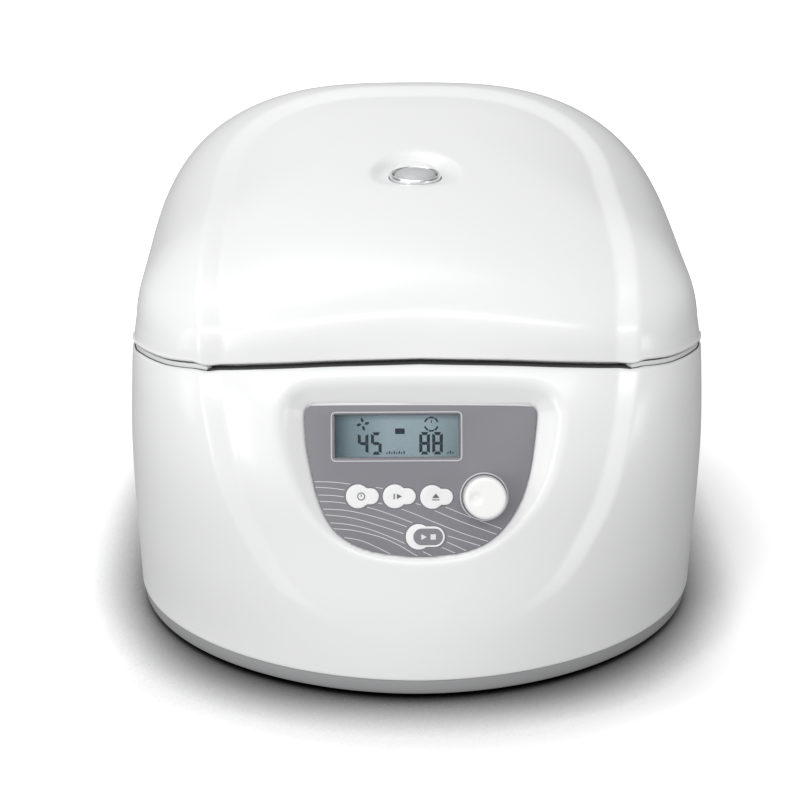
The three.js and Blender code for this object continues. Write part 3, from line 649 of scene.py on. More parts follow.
def metal(name, colour, rough, scratch=(1, 1, 60), strength=0.05, vary=0.06):
    """Metal with one noise, stretched by scratch, behind colour, roughness and relief."""
    material, tree, shader = new_material(name)
    place = add_node(tree, "TexCoord").outputs["Object"]
    scaled = add_node(tree, "Mapping", {"Scale": scratch, "Vector": place}).outputs["Vector"]
    noise = add_node(tree, "TexNoise", {"Scale": 40, "Detail": 5, "Vector": scaled}).outputs["Fac"]
    tone = varied_colour(tree, noise, colour, vary)
    roughness = add_node(tree, "MapRange", {
        "To Min": rough - 0.08, "To Max": rough + 0.1, "Value": noise})
    relief = add_node(tree, "Bump", {"Strength": strength, "Distance": 0.0001, "Height": noise})
    set_inputs(tree, shader, {
        "Base Color": tone, "Roughness": roughness.outputs["Result"],
        "Normal": relief.outputs["Normal"], "Metallic": 1.0})
    return material


def clear(name, tint, through, rough, ior):
    """Thin clear sheet: mostly transparent, part diffuse, glossy at grazing angles."""
    material, tree, output = new_material(name, principled=False)
    open_part = add_node(tree, "BsdfTransparent", {"Color": (*tint, 1)})
    gloss = add_node(tree, "BsdfGlossy", {"Roughness": rough})
    fresnel = add_node(tree, "Fresnel", {"IOR": ior})
    haze = add_node(tree, "BsdfDiffuse", {"Color": (*tint, 1)})
    noise = add_node(tree, "TexNoise", {"Scale": 60})
    amount = add_node(tree, "MapRange", {
        "To Min": 1 - through - 0.02, "To Max": 1 - through + 0.02, "Value": noise.outputs["Fac"]})
    body = add_node(tree, "MixShader", {
        "Fac": amount.outputs["Result"], 1: open_part.outputs[0], 2: haze.outputs[0]})
    whole = add_node(tree, "MixShader", {
        "Fac": fresnel.outputs[0], 1: body.outputs[0], 2: gloss.outputs[0]})
    set_inputs(tree, output, {"Surface": whole.outputs[0]})
    return material


def colour_ramp(tree, factor, first, last, *middle):
    """Ramp from (position, red, green, blue) stops."""
    node = add_node(tree, "ValToRGB", {"Fac": factor})
    elements = node.color_ramp.elements
    for element, (position, *colour) in zip(list(elements), (first, last)):
        element.position, element.color = position, (*colour, 1)
    for position, *colour in middle:
        elements.new(position).color = (*colour, 1)
    return node.outputs["Color"]


def display_material():
    """Blue-grey display with painted recess shade, dark at its left and top edges and dimmer at its
    right end, and a faint grain.
    """
    material, tree, shader = new_material("display_face")
    coords = add_node(tree, "TexCoord")
    axes = add_node(tree, "SeparateXYZ", {"Vector": coords.outputs["Generated"]})
    grain = add_node(tree, "TexNoise", {
        "Scale": 900, "Detail": 1, "Vector": coords.outputs["Object"]})
    # blue-grey across the face, with painted shade darkening the left edge and the right end
    across = colour_ramp(
        tree, axes.outputs["X"], (0.0, 0.02, 0.05, 0.062), (1.0, 0.20, 0.265, 0.285),
        (0.13, 0.17, 0.235, 0.26), (0.42, 0.315, 0.39, 0.425), (0.75, 0.31, 0.39, 0.42))
    # painted shade under the top edge of the recess, slightly dimmer at the bottom
    top_edge_shade = colour_ramp(
        tree, axes.outputs["Z"], (0.0, 0.92, 0.92, 0.92), (1.0, 0.42, 0.45, 0.47),
        (0.86, 0.95, 0.95, 0.95))
    shaded = add_node(tree, "Mix", {"Factor": 1, "A": across, "B": top_edge_shade},
                      data_type="RGBA", blend_type="MULTIPLY")
    grained = add_node(
        tree, "Mix", {"Factor": 0.12, "A": shaded.outputs["Result"], "B": grain.outputs["Color"]},
        data_type="RGBA", blend_type="OVERLAY")
    set_inputs(tree, shader, {
        "Base Color": grained.outputs["Result"], "Roughness": 0.55, "Specular IOR Level": 0.15})
    return material


# key: material, usual slot
FINISHES = {
    "shell": (plastic("shell_white", (0.845, 0.848, 0.852), rough=0.33, coat=0.25, grain=2600,
                      bump=0.015, vary=0.006), "white_shell"),
    "liner": (plastic("liner_white", (0.74, 0.745, 0.75), rough=0.5, grain=1500, bump=0.05,
                      vary=0.015), "white_liner"),
    "key": (plastic("key_white", (0.83, 0.83, 0.835), rough=0.42, grain=1800, vary=0.01),
            "white_key"),
    "knob": (plastic("knob_white", (0.88, 0.878, 0.87), rough=0.3, coat=0.2, grain=2400,
                     bump=0.012, vary=0.008), "white_knob"),
    "base": (plastic("base_grey", (0.33, 0.332, 0.337), rough=0.5, grain=1100, bump=0.12,
                     vary=0.03), "grey_base"),
    "fascia": (plastic("fascia_grey", (0.212, 0.209, 0.232), rough=0.45, grain=1600, bump=0.03,
                       vary=0.015, mottle=30), "grey_fascia"),
    "ink": (plastic("print_light", (0.72, 0.72, 0.74), rough=0.5, vary=0.01), "white_key"),
    "ink_dark": (plastic("print_dark", (0.12, 0.125, 0.13), rough=0.5), "white_key"),
    "silver": (metal("silver_trim", (0.88, 0.885, 0.9), rough=0.24), "silver_trim"),
    "steel": (metal("zinc_steel", (0.60, 0.61, 0.62), rough=0.34, strength=0.12, vary=0.1),
              "plain_steel"),
    "bright": (metal("ground_steel", (0.72, 0.72, 0.73), rough=0.2, scratch=(60, 60, 1),
                     strength=0.08), "bright_steel"),
    "spring": (metal("spring_wire", (0.42, 0.42, 0.43), rough=0.35), "spring_steel"),
    "bowl": (metal("spun_steel", (0.66, 0.665, 0.67), rough=0.26, scratch=(1, 1, 90),
                   strength=0.15), "bowl_steel"),
    "can": (metal("turned_aluminium", (0.66, 0.665, 0.68), rough=0.32, scratch=(1, 1, 120),
                  strength=0.2), "motor_can"),
    "black": (plastic("black_plastic", (0.028, 0.028, 0.03), rough=0.46, grain=1300, bump=0.12,
                      vary=0.12), "black_plastic"),
    "gloss": (plastic("black_gloss", (0.02, 0.02, 0.022), rough=0.2, coat=0.4, vary=0.1),
              "black_gloss"),
    "rubber": (plastic("black_rubber", (0.026, 0.026, 0.026), rough=0.78, grain=900, bump=0.2,
                       vary=0.15, spec=0.25), "black_rubber"),
    "rotor": (plastic("rotor_polymer", (0.035, 0.037, 0.042), rough=0.42, grain=1200, bump=0.08,
                      vary=0.1), "rotor_polymer"),
    "magnet": (metal("plated_magnet", (0.2, 0.2, 0.21), rough=0.4), "magnet"),
    "copper": (metal("copper_winding", (0.72, 0.32, 0.14), rough=0.35, scratch=(1, 1, 220),
                     strength=0.5, vary=0.2), "copper_winding"),
    "brass": (metal("brass_contact", (0.78, 0.62, 0.32), rough=0.28), "brass_contact"),
    "board": (plastic("solder_mask", (0.02, 0.12, 0.06), rough=0.38, grain=700, bump=0.1,
                      vary=0.2, mottle=120), "circuit_board"),
    "alu": (metal("black_anodised", (0.07, 0.07, 0.075), rough=0.42), "black_aluminium"),
    "plate": (plastic("powder_coat", (0.045, 0.046, 0.05), rough=0.55, grain=800, bump=0.3,
                      vary=0.1), "dark_plate"),
    "lcd": (display_material(), "display_glass"),
    "digit": (plastic("display_segment", (0.004, 0.018, 0.03), rough=0.6, vary=0.05, spec=0.05),
              "display_glass"),
    "glass": (clear("display_glass", (0.985, 0.995, 1.0), through=0.985, rough=0.12, ior=1.12),
              "display_glass"),
    "lens": (clear("window_clear", (0.80, 0.81, 0.82), through=0.35, rough=0.04, ior=1.49),
             "clear_window"),
    # dark seam strips: the front rubber seal, which also stands in for shade in the gap, and painted
    # shade in the side grooves
    "seal": (plastic("seam_seal", (0.045, 0.045, 0.047), rough=0.6, vary=0.1, spec=0.3),
             "black_rubber"),
    "trim": (plastic("display_trim", (0.62, 0.62, 0.65), rough=0.3, coat=0.3, vary=0.01),
             "silver_trim"),
}


# ------------------------------------------------------------------ shell columns
def column_angles(n):
    """Column angles of the shells, closer together across the front half."""
    angle = np.linspace(0, 2 * math.pi, 4001)
    weight = 1 + 1.3 * (np.sin(angle) < 0)
    total = np.r_[0, np.cumsum((weight[1:] + weight[:-1]) / 2)]
    return np.interp(np.linspace(0, total[-1], n, endpoint=False), total, angle)


N = 720
PHI = column_angles(N)
SEAM = seam_z(PHI)


def inward_normals(plan):
    tangent = np.roll(plan, -1, axis=0) - np.roll(plan, 1, axis=0)
    tangent /= np.hypot(tangent[:, 0], tangent[:, 1])[:, None]
    return np.stack([-tangent[:, 1], tangent[:, 0]], 1)


def rim_plan(inset, phi=PHI):
    plan = np.stack(outline(phi, seam_z(phi)), 1)
    return plan + inset * inward_normals(plan)


def seam_offsets():
    """How far the body rim stands above the plain seam, and the lid edge back up from it.

    The gap opens at the front corners and closes to a fine line on the flanks.
    """
    x, y = rim_plan(0).T
    corner = smoothstep(101.5, 113.0, np.abs(x)) * (1 - smoothstep(-90, -58, y))
    flank = smoothstep(-94, -62, y) * (1 - smoothstep(92, 128, y))
    return np.maximum(1.3 * corner, 1.95 * flank), 2.3 * corner


RAISE, LIFT = seam_offsets()
RIM = SEAM - GAP + RAISE

# outline of the control panel: across, up
FASCIA = resample(chaikin(np.array([
    [-56.2, 64.2], [-56, 69.8], [-54.9, 72], [-52.7, 72.9], [54, 72.3], [56.6, 70.6],
    [57.2, 67.6], [56.8, 63.5], [55.5, 51.4], [53.9, 40.9], [51.4, 31.2], [48.1, 23.1],
    [41.6, 12.6], [33.5, 5.3], [25.3, 1.8], [17.2, -0.2], [1, -1.6], [-15.1, -0.4],
    [-27.3, 2.1], [-37.8, 7.4], [-43.4, 13.1], [-47.4, 20.4], [-50.6, 29.4], [-52.5, 38.3],
    [-55.3, 52],
]), 3), 240)


# ------------------------------------------------------------------ housing
def body_surface(phi, z, inset=0.0):
    x, y = outline(phi, z, inset)
    sunk = np.where(np.sin(phi) < 0, RECESS * body_recess(x, z), 0)
    return np.stack([x, y + sunk, np.broadcast_to(z, x.shape)], -1)


def panel_coordinates(points):
    away = points - PANEL_ORIGIN
    return away @ PANEL_ACROSS, away @ PANEL_UP, away @ PANEL_OUT


def sink_panel(points):
    """Sink the front into the control panel's pocket."""
    across, up, out = panel_coordinates(points)
    near = (np.abs(across) < 82) & (up > -12) & (up < 98) & (points[..., 1] < -80)
    gap = np.full(across.shape, 99.0)
    gap[near] = signed_distance(np.stack([across[near], up[near]], 1), FASCIA[::2])
    bank = np.where(gap < 0.75, -1.9 + (gap - 0.25) / 0.5 * 1.7, -0.2 + (gap - 0.75) * 0.66)
    pocket = np.where(gap < 0.25, -1.9, bank)
    sunk = smooth_min(out, pocket, np.clip(0.4 + gap * 0.28, 0.4, 3.0))
    sunk = np.where(near & (gap < 30), np.minimum(sunk, out), out)
    return points + (sunk - out)[..., None] * PANEL_OUT


def behind_pocket(points):
    """Keep the inner skin behind the pocket floor."""
    across, up, out = panel_coordinates(points)
    near = (np.abs(across) < 78) & (up > -8) & (up < 92) & (points[:, 1] < -80)
    limit = -5.4 + np.maximum(np.abs(across) - 60, 0) * 0.66
    return points + (np.where(near, np.minimum(out, limit), out) - out)[:, None] * PANEL_OUT


def housing_rings():
    # outer skin from the foot up, over the rim
    foot = [(SPLIT, 0.9), (SPLIT, 0.35), (SPLIT + 0.5, 0.08), (SPLIT + 1.2, 0.0)]
    heights = np.arange(SPLIT + 2.5, 134, 1.15)
    rings = [body_surface(PHI, np.full(N, z), d) for z, d in foot + [(z, 0.0) for z in heights]]
    last = float(heights[-1])
    for share in np.linspace(0, 1, 30)[1:]:
        rings.append(body_surface(PHI, last + (RIM - 1.6 - last) * share))
    for drop, inset in ((1.2, 0.0), (0.8, 0.06), (0.42, 0.24), (0.14, 0.55), (0.0, 1.05)):
        rings.append(body_surface(PHI, RIM - drop, inset))
    rings = [sink_panel(points) for points in rings]
    # down inside to the deck, across it and through its round hole
    for inset, drop in ((6.0, 0.0), (6.7, 0.25), (7.1, 1.0)):
        rings.append(ring(rim_plan(inset), RIM - drop))
    for inset, z in ((8.9, DECK_Z + 1.2), (9.2, DECK_Z + 0.35), (10.2, DECK_Z)):
        rings.append(ring(rim_plan(inset), z))
    deck_edge = rim_plan(10.2)
    angle = np.arctan2(deck_edge[:, 1] - AXIS_Y, deck_edge[:, 0] - AXIS_X)
    for outset, drop in ((8, 0), (0.6, 0), (0, 0.6), (0, 3), (8, 3)):
        radius = DECK_HOLE + outset
        hole = [AXIS_X + radius * np.cos(angle), AXIS_Y + radius * np.sin(angle)]
        rings.append(ring(np.stack(hole, 1), DECK_Z - drop))
    rings.append(ring(rim_plan(6.4), DECK_Z - 3))
    # inner skin
    rings.append(body_surface(PHI, RIM - 5.5, WALL + 0.6))
    for z in (132, 124, 116, 108, 100, 92, 84, 76, 68, 60, 40, 12.4):
        rings.append(behind_pocket(body_surface(PHI, np.full(N, z), WALL + 0.2)))
    return rings


def housing():
    o = solid("housing_shell", skin(housing_rings(), loop=True))
    # rear recess with softened corners, its opening, the hinge step and the hook slots
    hinge_step = rounded(-78, 78, 127 - REAR_Z, 220 - REAR_Z, 4)
    tools = [
        extrude(rounded(-79, 79, -30, 30, 5), [(0, -0.3), (0, 5.5), (1.2, 8.4), (1.2, 30)], on_rear),
        extrude(rounded(-72, 72, -22.5, 22.5, 3), [(0, -26), (0, 4)], on_rear),
        extrude(hinge_step, [(0, 150 - REAR_Y), (0, 30)], on_rear),
    ]
    for _, side in SIDES:
        x = side * HOOK_X
        slot = rounded(x - 9, x + 9, HOOK_Y - 5.5, HOOK_Y + 5.5, 2)
        tools.append(extrude(slot, [(0, 125), (0, 137.2), (0.8, 138.05), (0.8, 160)]))
    carve(o, *tools)
    finish(o, "shell", "upper_housing", angle=38)


def seam_strip(name, kept, profile, mat, scale=1.0):
    """Strip along the rim where kept holds; profile is (inset, height above the rim)."""
    start = int(np.argmax(kept & ~np.roll(kept, 1)))
    order = np.roll(np.arange(N), -start)
    run = order[:np.argmin(kept[order])]
    columns = [ring(body_surface(PHI, RIM, inset)[:, :2], RIM + (dz * scale if dz > 0 else dz))
               for inset, dz in profile]
    piece(name, skin(np.stack(columns, 1)[run]), mat, angle=50)


def seam_strips():
    x, y, _ = body_surface(PHI, RIM).T
    # dark rubber seal in the front gap; its dark face also stands in for the shade in the gap
    seam_strip("front_seam_seal_and_shade", (abs(x) < 105.0) & (y < -60), [
        (0.75, -0.5), (0.62, 0.35), (0.85, 0.72), (1.3, 0.85), (4.6, 0.85), (5.0, 0.5),
        (5.0, -0.9)], "seal")
    lip = [(1.75, -0.5), (1.7, 2.0), (1.9, 2.35), (3.3, 2.35), (3.6, 2.1), (3.6, -0.5)]
    # dark strip at the foot of each side groove: painted shade in the groove
    groove = [(1.0, -0.4), (1.05, 0.08), (2.0, 0.08), (2.0, -0.4)]
    opening = np.clip((2 * GAP + LIFT - RAISE - 0.3) / 3.1, 0.03, 1)
    for tag, side in SIDES:
        beside = side * x > 104.6
        seam_strip(tag + "_seam_lip", beside & (y < -70), lip, "liner", opening)
        seam_strip(tag + "_seam_groove_shade", beside & (y < -74), groove, "seal")


# ------------------------------------------------------------------ lid
def lid_shell():
    power = dome_power(PHI)

    def at_rise(rise, inward=0.0):
        return dome(PHI, np.arcsin(np.clip(rise, 0, 1) ** (power / 2)) * 2 / math.pi, inward)

    rings = [dome(np.array([0.0]), np.array([1.0]))]
    for s in np.linspace(0.3, 1, 112)[:-1][::-1]:
        rings.append(dome(PHI, np.full(N, s)))
    rise_high = np.sin(0.3 * math.pi / 2) ** (2 / power)
    rise_low = (2.2 + LIFT) / (top_z(0 * PHI, 0 * PHI) - SEAM)
    for share in np.linspace(0, 1, 62)[:-1][::-1]:
        rings.append(at_rise(rise_low + (rise_high - rise_low) * share))
    # round the lower edge: inset, height above it
    plan = dome(PHI, np.full(N, 1e-9))[:, :2]
    inward = inward_normals(plan)
    edge = [(0.05, 1.35), (0.3, 0.7), (0.75, 0.22), (1.4, 0.0), (WALL - 0.5, 0.0), (WALL, 0.6)]
    for inset, height in edge:
        rings.append(ring(plan + inward * inset, SEAM + GAP + LIFT + height))
    inner_low = rise_low * 1.5
    for share in (0.04, 0.12, 0.25, 0.4, 0.55, 0.7, 0.85):
        rings.append(at_rise(inner_low + (rise_high - inner_low) * share, WALL))
    for s in (0.3, 0.36, 0.42, 0.5, 0.58, 0.66, 0.74, 0.82, 0.9, 0.96):
        rings.append(dome(PHI, np.full(N, s), WALL))
    rings.append(dome(np.array([0.0]), np.array([1.0]), WALL))
    o = solid("lid_outer", skin(rings))
    window_hole = [
        (0, 190), (13.95, 190), (13.95, WINDOW_Z - 0.5), (14.05, WINDOW_Z - 0.25),
        (14.3, WINDOW_Z + 0.02), (WINDOW_RADIUS + 6.0, WINDOW_Z + 6.0), (0, WINDOW_Z + 6)]
    carve(o, revolve(window_hole, 160, centre=WINDOW_AXIS, radius=None))
    finish(o, "shell", "lid_shell", body="lid", angle=38)


def lid_inner_cover():
    n = 360
    phi = np.arange(n) * 2 * math.pi / n
    edge_z = seam_z(phi) + GAP

    def circles(table, y=AXIS_Y):
        return [ring(disc(radius, n, 0, y), z) for radius, z in table]

    # tables of radius, height: the underside inward and up, then the upper side back out
    cone = [(97 - 13 * k / 6, 151 + 39 * k / 6) for k in range(1, 6)]
    rings = [ring(rim_plan(8.4, phi), edge_z + 1.0), ring(rim_plan(12.6, phi), 147.5),
             ring(rim_plan(13.6, phi), 147)]
    rings += circles([
        (117, 147), (113.4, 147), (106.6, 147), (103.2, 147), (101.6, 147.6), (97.6, 149.8),
        (96.6, 151.6), *cone, (84.2, 189.2), (83, 191), (72, 195.6), (69, 196)])
    rings += circles([(40, 196)], -18)
    rings += circles([
        (16.4, 196), (14.8, 197.4), (14.8, 216.6), (15.2, 217), (16.4, 217), (16.8, 216.6),
        (16.8, 198.5)], WINDOW_Y)
    rings += circles([(40, 198.5)], -18)
    rings += circles([(71, 198.5), (86, 192.3), (99.4, 153.2), (104, 149.5), (116, 149.5)])
    rings += [ring(rim_plan(14.5, phi), 149.6), ring(rim_plan(9.2, phi), edge_z + 3.4)]
    piece("lid_inner_cover", skin(rings, loop=True), "liner", "lid_liner", "lid", angle=40)


def lid_cover_ribs():
    profile = [(99.5, 148.2), (100.6, 150.2), (87.4, 190.6), (85.3, 190.9), (83.2, 189.6),
               (95.2, 153.0)]
    rib = skin([[(r, y, z) for r, z in profile] for y in (0.9, -0.9)])
    ribs = [spun(rib, (k + 0.5) * math.pi / 6) for k in range(12)]
    piece("lid_cover_ribs", join(ribs), "liner", body="lid")


def lid_fittings():
    lathe("lid_gasket_lip", [
        (107, 146.9), (107, 144.2), (108.4, 141.4), (110, 140.8), (111.6, 141.4), (113, 144.2),
        (113, 146.9)], 220, "rubber", "lid_seal", "lid", loop=True, centre=AXIS, radius=0.7)
    lathe("window_bezel", [
        (11.75, 219.2), (13.5, 219.2), (13.55, 225.0), (13.25, 225.9), (12.75, 226.2),
        (12.15, 225.8), (11.75, 224.6)], 200, "silver", "window_ring", "lid", loop=True,
        centre=WINDOW_AXIS, radius=0.35)
    lathe("window_pane", [
        (0, 220.0), (11.6, 220.4), (11.6, 223.8), (10.9, 225.2), (9.4, 226.5), (7.0, 227.4),
        (4, 227.9), (0, 228.1)], 160, "lens", "window_lens", "lid", centre=WINDOW_AXIS,
        radius=None)
    lathe("window_tube", [(12.9, 197.0), (13.9, 197.0), (13.9, 218.9), (12.9, 218.9)], 120,
          "liner", body="lid", loop=True, centre=WINDOW_AXIS, radius=0.2)


# ------------------------------------------------------------------ base tray and feet
DAMPER_RADIUS, RING_SCREW_RADIUS = 62, 97
PLATE_TOP, TRAY_FLOOR = 54.9, 4.5


def tray():
    n = 480
    phi = np.arange(n) * 2 * math.pi / n
    # inset, height: up the outside, then down the inside
    profile = [
        (60, 2.2), (5.6, 2.2), (4.6, 2.26), (3.5, 2.6), (2.55, 3.3), (1.9, 4.3), (1.45, 5.6),
        (1.15, 7.2), (1.0, 9.0), (1.0, 10.7), (1.15, 11.3), (1.6, 11.6), (3.6, 11.6), (3.7, 9),
        (4.4, 5.9), (60, 5.9)]
    o = solid("tray", skin([ring(np.stack(outline(phi, SPLIT, d), 1), z) for d, z in profile]))
    slots = [pill(-30, 14, 2, 0, 8)[:, ::-1] + [i * 9, 0] for i in range(-3, 4)]
    slots += [pill(82, 112, 1.8, 0, 8)[:, ::-1] + [side * 96 + (i - 2) * 8, 0]
              for i in range(5) for _, side in SIDES]
    carve(o, *[extrude(slot, [(0, 0), (0, 8)]) for slot in slots])
    finish(o, "base", "base_tray", angle=30)


def tray_posts():
    geos = []
    for i, (x, y) in enumerate(around(DAMPER_RADIUS, 3, math.pi / 2)):
        geos.append(cylinder(7, TRAY_FLOOR, 41.7, x, y, 48, 0.5))
        gusset = rounded_box(0, 11, -0.8, 0.8, 5.0, 26, 0.3)
        for k in range(4):
            angle = k * math.pi / 2 + (math.pi / 2 + i * 2 * math.pi / 3)
            geos.append(spun(gusset, angle, x, y))
    for x, y in around(RING_SCREW_RADIUS, 4, math.pi / 4):
        geos.append(cylinder(5, TRAY_FLOOR, 56.7, x, y, 40, 0.4))
    for x, y in ((-62, 122), (-62, 158), (44, 122), (44, 158)):
        geos.append(cylinder(3, TRAY_FLOOR, 15.7, x, y, 32, 0.3))
    for y in (-96, 66, 100):
        geos.append(rounded_box(-118, 118, y - 0.9, y + 0.9, 5.4, 11, 0.3))
    piece("tray_posts_and_ribs", join(geos), "base", angle=35)


def underside():
    places = ((-112, -84), (112, -84), (-122, 60), (122, 60), (-60, 160), (60, 160))
    screws("underside_screws", [(x, y, 2.25) for x, y in places], DOWN, 3.0, 1.1)
    profile = [
        (0, 0.5), (3.2, 0.5), (3.8, 0.0), (5.6, 0.0), (5.8, 0.35), (6.4, 0.35), (6.6, 0.0),
        (9.2, 0.0), (10.4, 0.9), (10.5, 2.7), (0, 2.7)]
    feet = ((-84, -122), (84, -122), (-106, 138), (106, 138))
    for i, (x, y) in enumerate(feet, 1):
        lathe("rubber_foot_%d" % i, profile, 72, "rubber", "foot_%d" % i, centre=(x, y, 0),
              radius=0.18)


# ------------------------------------------------------------------ rear plate
PIN_PLACES = ((50, 3), (43.5, -1.5), (56.5, -1.5))
RELEASE_X = -37.0


def rear_plate():
    face = rounded(-78.5, 78.5, -29.5, 29.5, 4.6, 6)
    o = solid("plate", extrude(face, [(-0.25, 0), (0, 0.25), (0, 1.65), (-0.35, 2.0)], on_rear))
    holes = [
        rounded(36, 64, -10.3, 10.3, 2.6),
        rounded(4, 20, -11, 11, 1.2),
        rounded(-25.2, -10.8, -4.9, 4.9, 0.8),
        disc(1.9, 40, RELEASE_X),
    ]
    slot = pill(-20, 20, 1.15, 0, 10)
    holes += [np.stack([slot[:, 1] - 50 - i * 4.4, slot[:, 0]], 1)[::-1] for i in range(6)]
    carve(o, *[extrude(hole, [(0, -1), (0, 3.4)], on_rear) for hole in holes])
    bevel(o, 0.25)
    finish(o, "plate", "rear_plate")
    places = ((-74, 25), (74, 25), (-74, -25), (74, -25), (27.5, 0), (72, 0))
    screws("plate_screws", [on_rear([x, y, 2.0]) for x, y in places], REAR_BASIS, 2.5, 1.3)


def power_inlet():
    cavity = np.array(fillet(
        [(38, -8), (62, -8), (62, 3.6), (57.6, 8), (42.4, 8), (38, 3.6)], 1.0, 4))
    o = solid("inlet", extrude(rounded(35, 65, -12, 12, 2.2), [(0, 2.3), (0, 3.6), (-0.6, 4.2)],
                               on_rear))
    weld(o, extrude(rounded(36.5, 63.5, -9.9, 9.9, 2.4), [(-0.5, -20), (0, -19.5), (0, 3)], on_rear))
    carve(o, extrude(cavity, [(0, -14), (0, 3.5), (0.7, 4.4), (0.7, 7)], on_rear))
    finish(o, "black", "power_inlet")
    blades = [extrude(rounded(x - 1, x + 1, y - 2, y + 2, 0.3, 3),
                      [(0, -12.8), (0, -1.0), (-0.45, 0)], on_rear) for x, y in PIN_PLACES]
    bridge = placed(rounded_box(41, 59, -6, 6, -13.7, -12.6, 0.2), on_rear)
    piece("inlet_pins", join(blades + [bridge]), "brass", "inlet_contacts")
    # insert that hides the contact bridge, with a slot for each blade
    o = solid("inlet_insert", extrude(
        cavity, [(-0.15, -12.5), (-0.06, -12.4), (-0.06, -11.95), (-0.3, -11.7)], on_rear))
    slots = [rounded(x - 1.12, x + 1.12, y - 2.12, y + 2.12, 0.35, 3) for x, y in PIN_PLACES]
    carve(o, *[extrude(slot, [(0, -14), (0, -9)], on_rear) for slot in slots])
    finish(o, "black")


def switch_frame():
    o = solid("sw", extrude(rounded(3, 21, -12.2, 12.2, 1.4), [(0, 2.3), (0, 3.1), (-0.5, 3.6)],
                            on_rear))
    weld(o, extrude(rounded(4.5, 19.5, -10.5, 10.5, 0.8), [(0, -12), (0, 3)], on_rear))
    carve(o, extrude(rounded(6.5, 17.5, -8.9, 8.9, 0.7),
                     [(0, -10.5), (0, 3.2), (0.4, 3.8), (0.4, 6)], on_rear))
    finish(o, "black", "switch_frame")


ROCKER_TILT = math.radians(11)
ROCKER_CENTRE = np.array([-12, REAR_Y + 1.4, REAR_Z])


def on_rocker(up, out, x):
    cos, sin = math.cos(ROCKER_TILT), math.sin(ROCKER_TILT)
    shift = [x, out * cos - up * sin, out * sin + up * cos]
    return ROCKER_CENTRE + np.array(shift)


def rocker_mark(path, width):
    """Raised line lying on the rocker's face; path is x, up."""
    path = np.array(path, float)
    side = side_normals(path) * width / 2
    rings = []
    for left, right in zip(path + side, path - side):
        corners = ((left, -0.3), (left, 0.14), (right, 0.14), (right, -0.3))
        rings.append([on_rocker(up, 1.75 + (abs(up) / 7.6) ** 1.6 * 1.55 + height, x)
                      for (x, up), height in corners])
    return skin(rings)


def rocker():
    # up, out
    profile = np.array(fillet(
        [(-7.6, -3.4), (-7.6, 3.4), (-4, 2.35), (0, 1.75), (4, 2.35), (7.6, 3.4), (7.6, -3.4),
         (2.4, -5.6), (-2.4, -5.6)], [0.3, 0.7, 3, 3, 3, 0.7, 0.3, 1, 1], 5))
    rings = []
    for x, inset in ((-5, 0.3), (-4.7, 0), (4.7, 0), (5, 0.3)):
        rings.append([on_rocker(up, out, x) for up, out in profile * (1 - inset / 8)])
    piece("rocker_paddle", skin(rings), "gloss", "power_rocker", "rocker", angle=40)
    # a bar on the lower end, a circle on the upper
    bar = [(0, -6.4), (0, -5.2), (0, -4.2), (0, -3.2)]
    circle = [(1.5 * math.cos(t), 4.9 + 1.5 * math.sin(t)) for t in np.linspace(0, 2 * math.pi, 25)]
    marks = [rocker_mark(bar, 0.7), rocker_mark(circle, 0.6)]
    piece("rocker_marks", join(marks), "ink", body="rocker")


def fuse_drawer():
    def part(x0, x1, y0, y1, radius, levels):
        return extrude(rounded(x0, x1, y0, y1, radius), levels, on_rear)
    o = solid("fd", part(-26.5, -9.5, -6.2, 6.2, 0.8, [(0, 2.3), (0, 4.2), (-0.4, 4.6)]))
    weld(o, part(-24.8, -11.2, -4.5, 4.5, 0.5, [(0, -18), (0, 3)]))
    # hollowed finger lip
    weld(o, part(-21, -15, -3.4, 3.4, 0.9, [(0, 4.2), (0, 5.4), (-0.4, 5.8)]))
    carve(o, part(-20, -16, -2.4, 2.4, 0.6, [(0, 4.9), (0, 7)]))
    finish(o, "gloss", "fuse_drawer", "fuse_tray")


def release_pull():
    lathe("release_knob", [
        (0, -22), (1.5, -22), (1.5, 2.4), (4.2, 2.4), (4.8, 3.2), (4.3, 5), (4.8, 6.8),
        (4.0, 7.6), (1.6, 7.6), (1.2, 7.1), (0, 7.1)], 64, "bright", "release_pull", "release",
        centre=on_rear([RELEASE_X, 0, 0]), basis=REAR_BASIS, radius=0.3)


# ------------------------------------------------------------------ control panel
# panel places are across, up
KEYS = {"mode": (-30.4, 28.3), "pulse": (-12.4, 28.2), "lid": (5.8, 27.8)}
# centre of the round head, head radius, tail radius, right end of the tail
KEY_SHAPES = {name: (x, y, 5.9, 4.0, x + 10.3) for name, (x, y) in KEYS.items()}
KEY_SHAPES["run"] = (-0.9, 8.4, 6.3, 5.1, 12.0)
KNOB_X, KNOB_Y = 31.2, 27.8
KNOB_CENTRE = on_panel([KNOB_X, KNOB_Y, 0.0])
SEGMENT_LEVELS = (-0.8, -0.66)

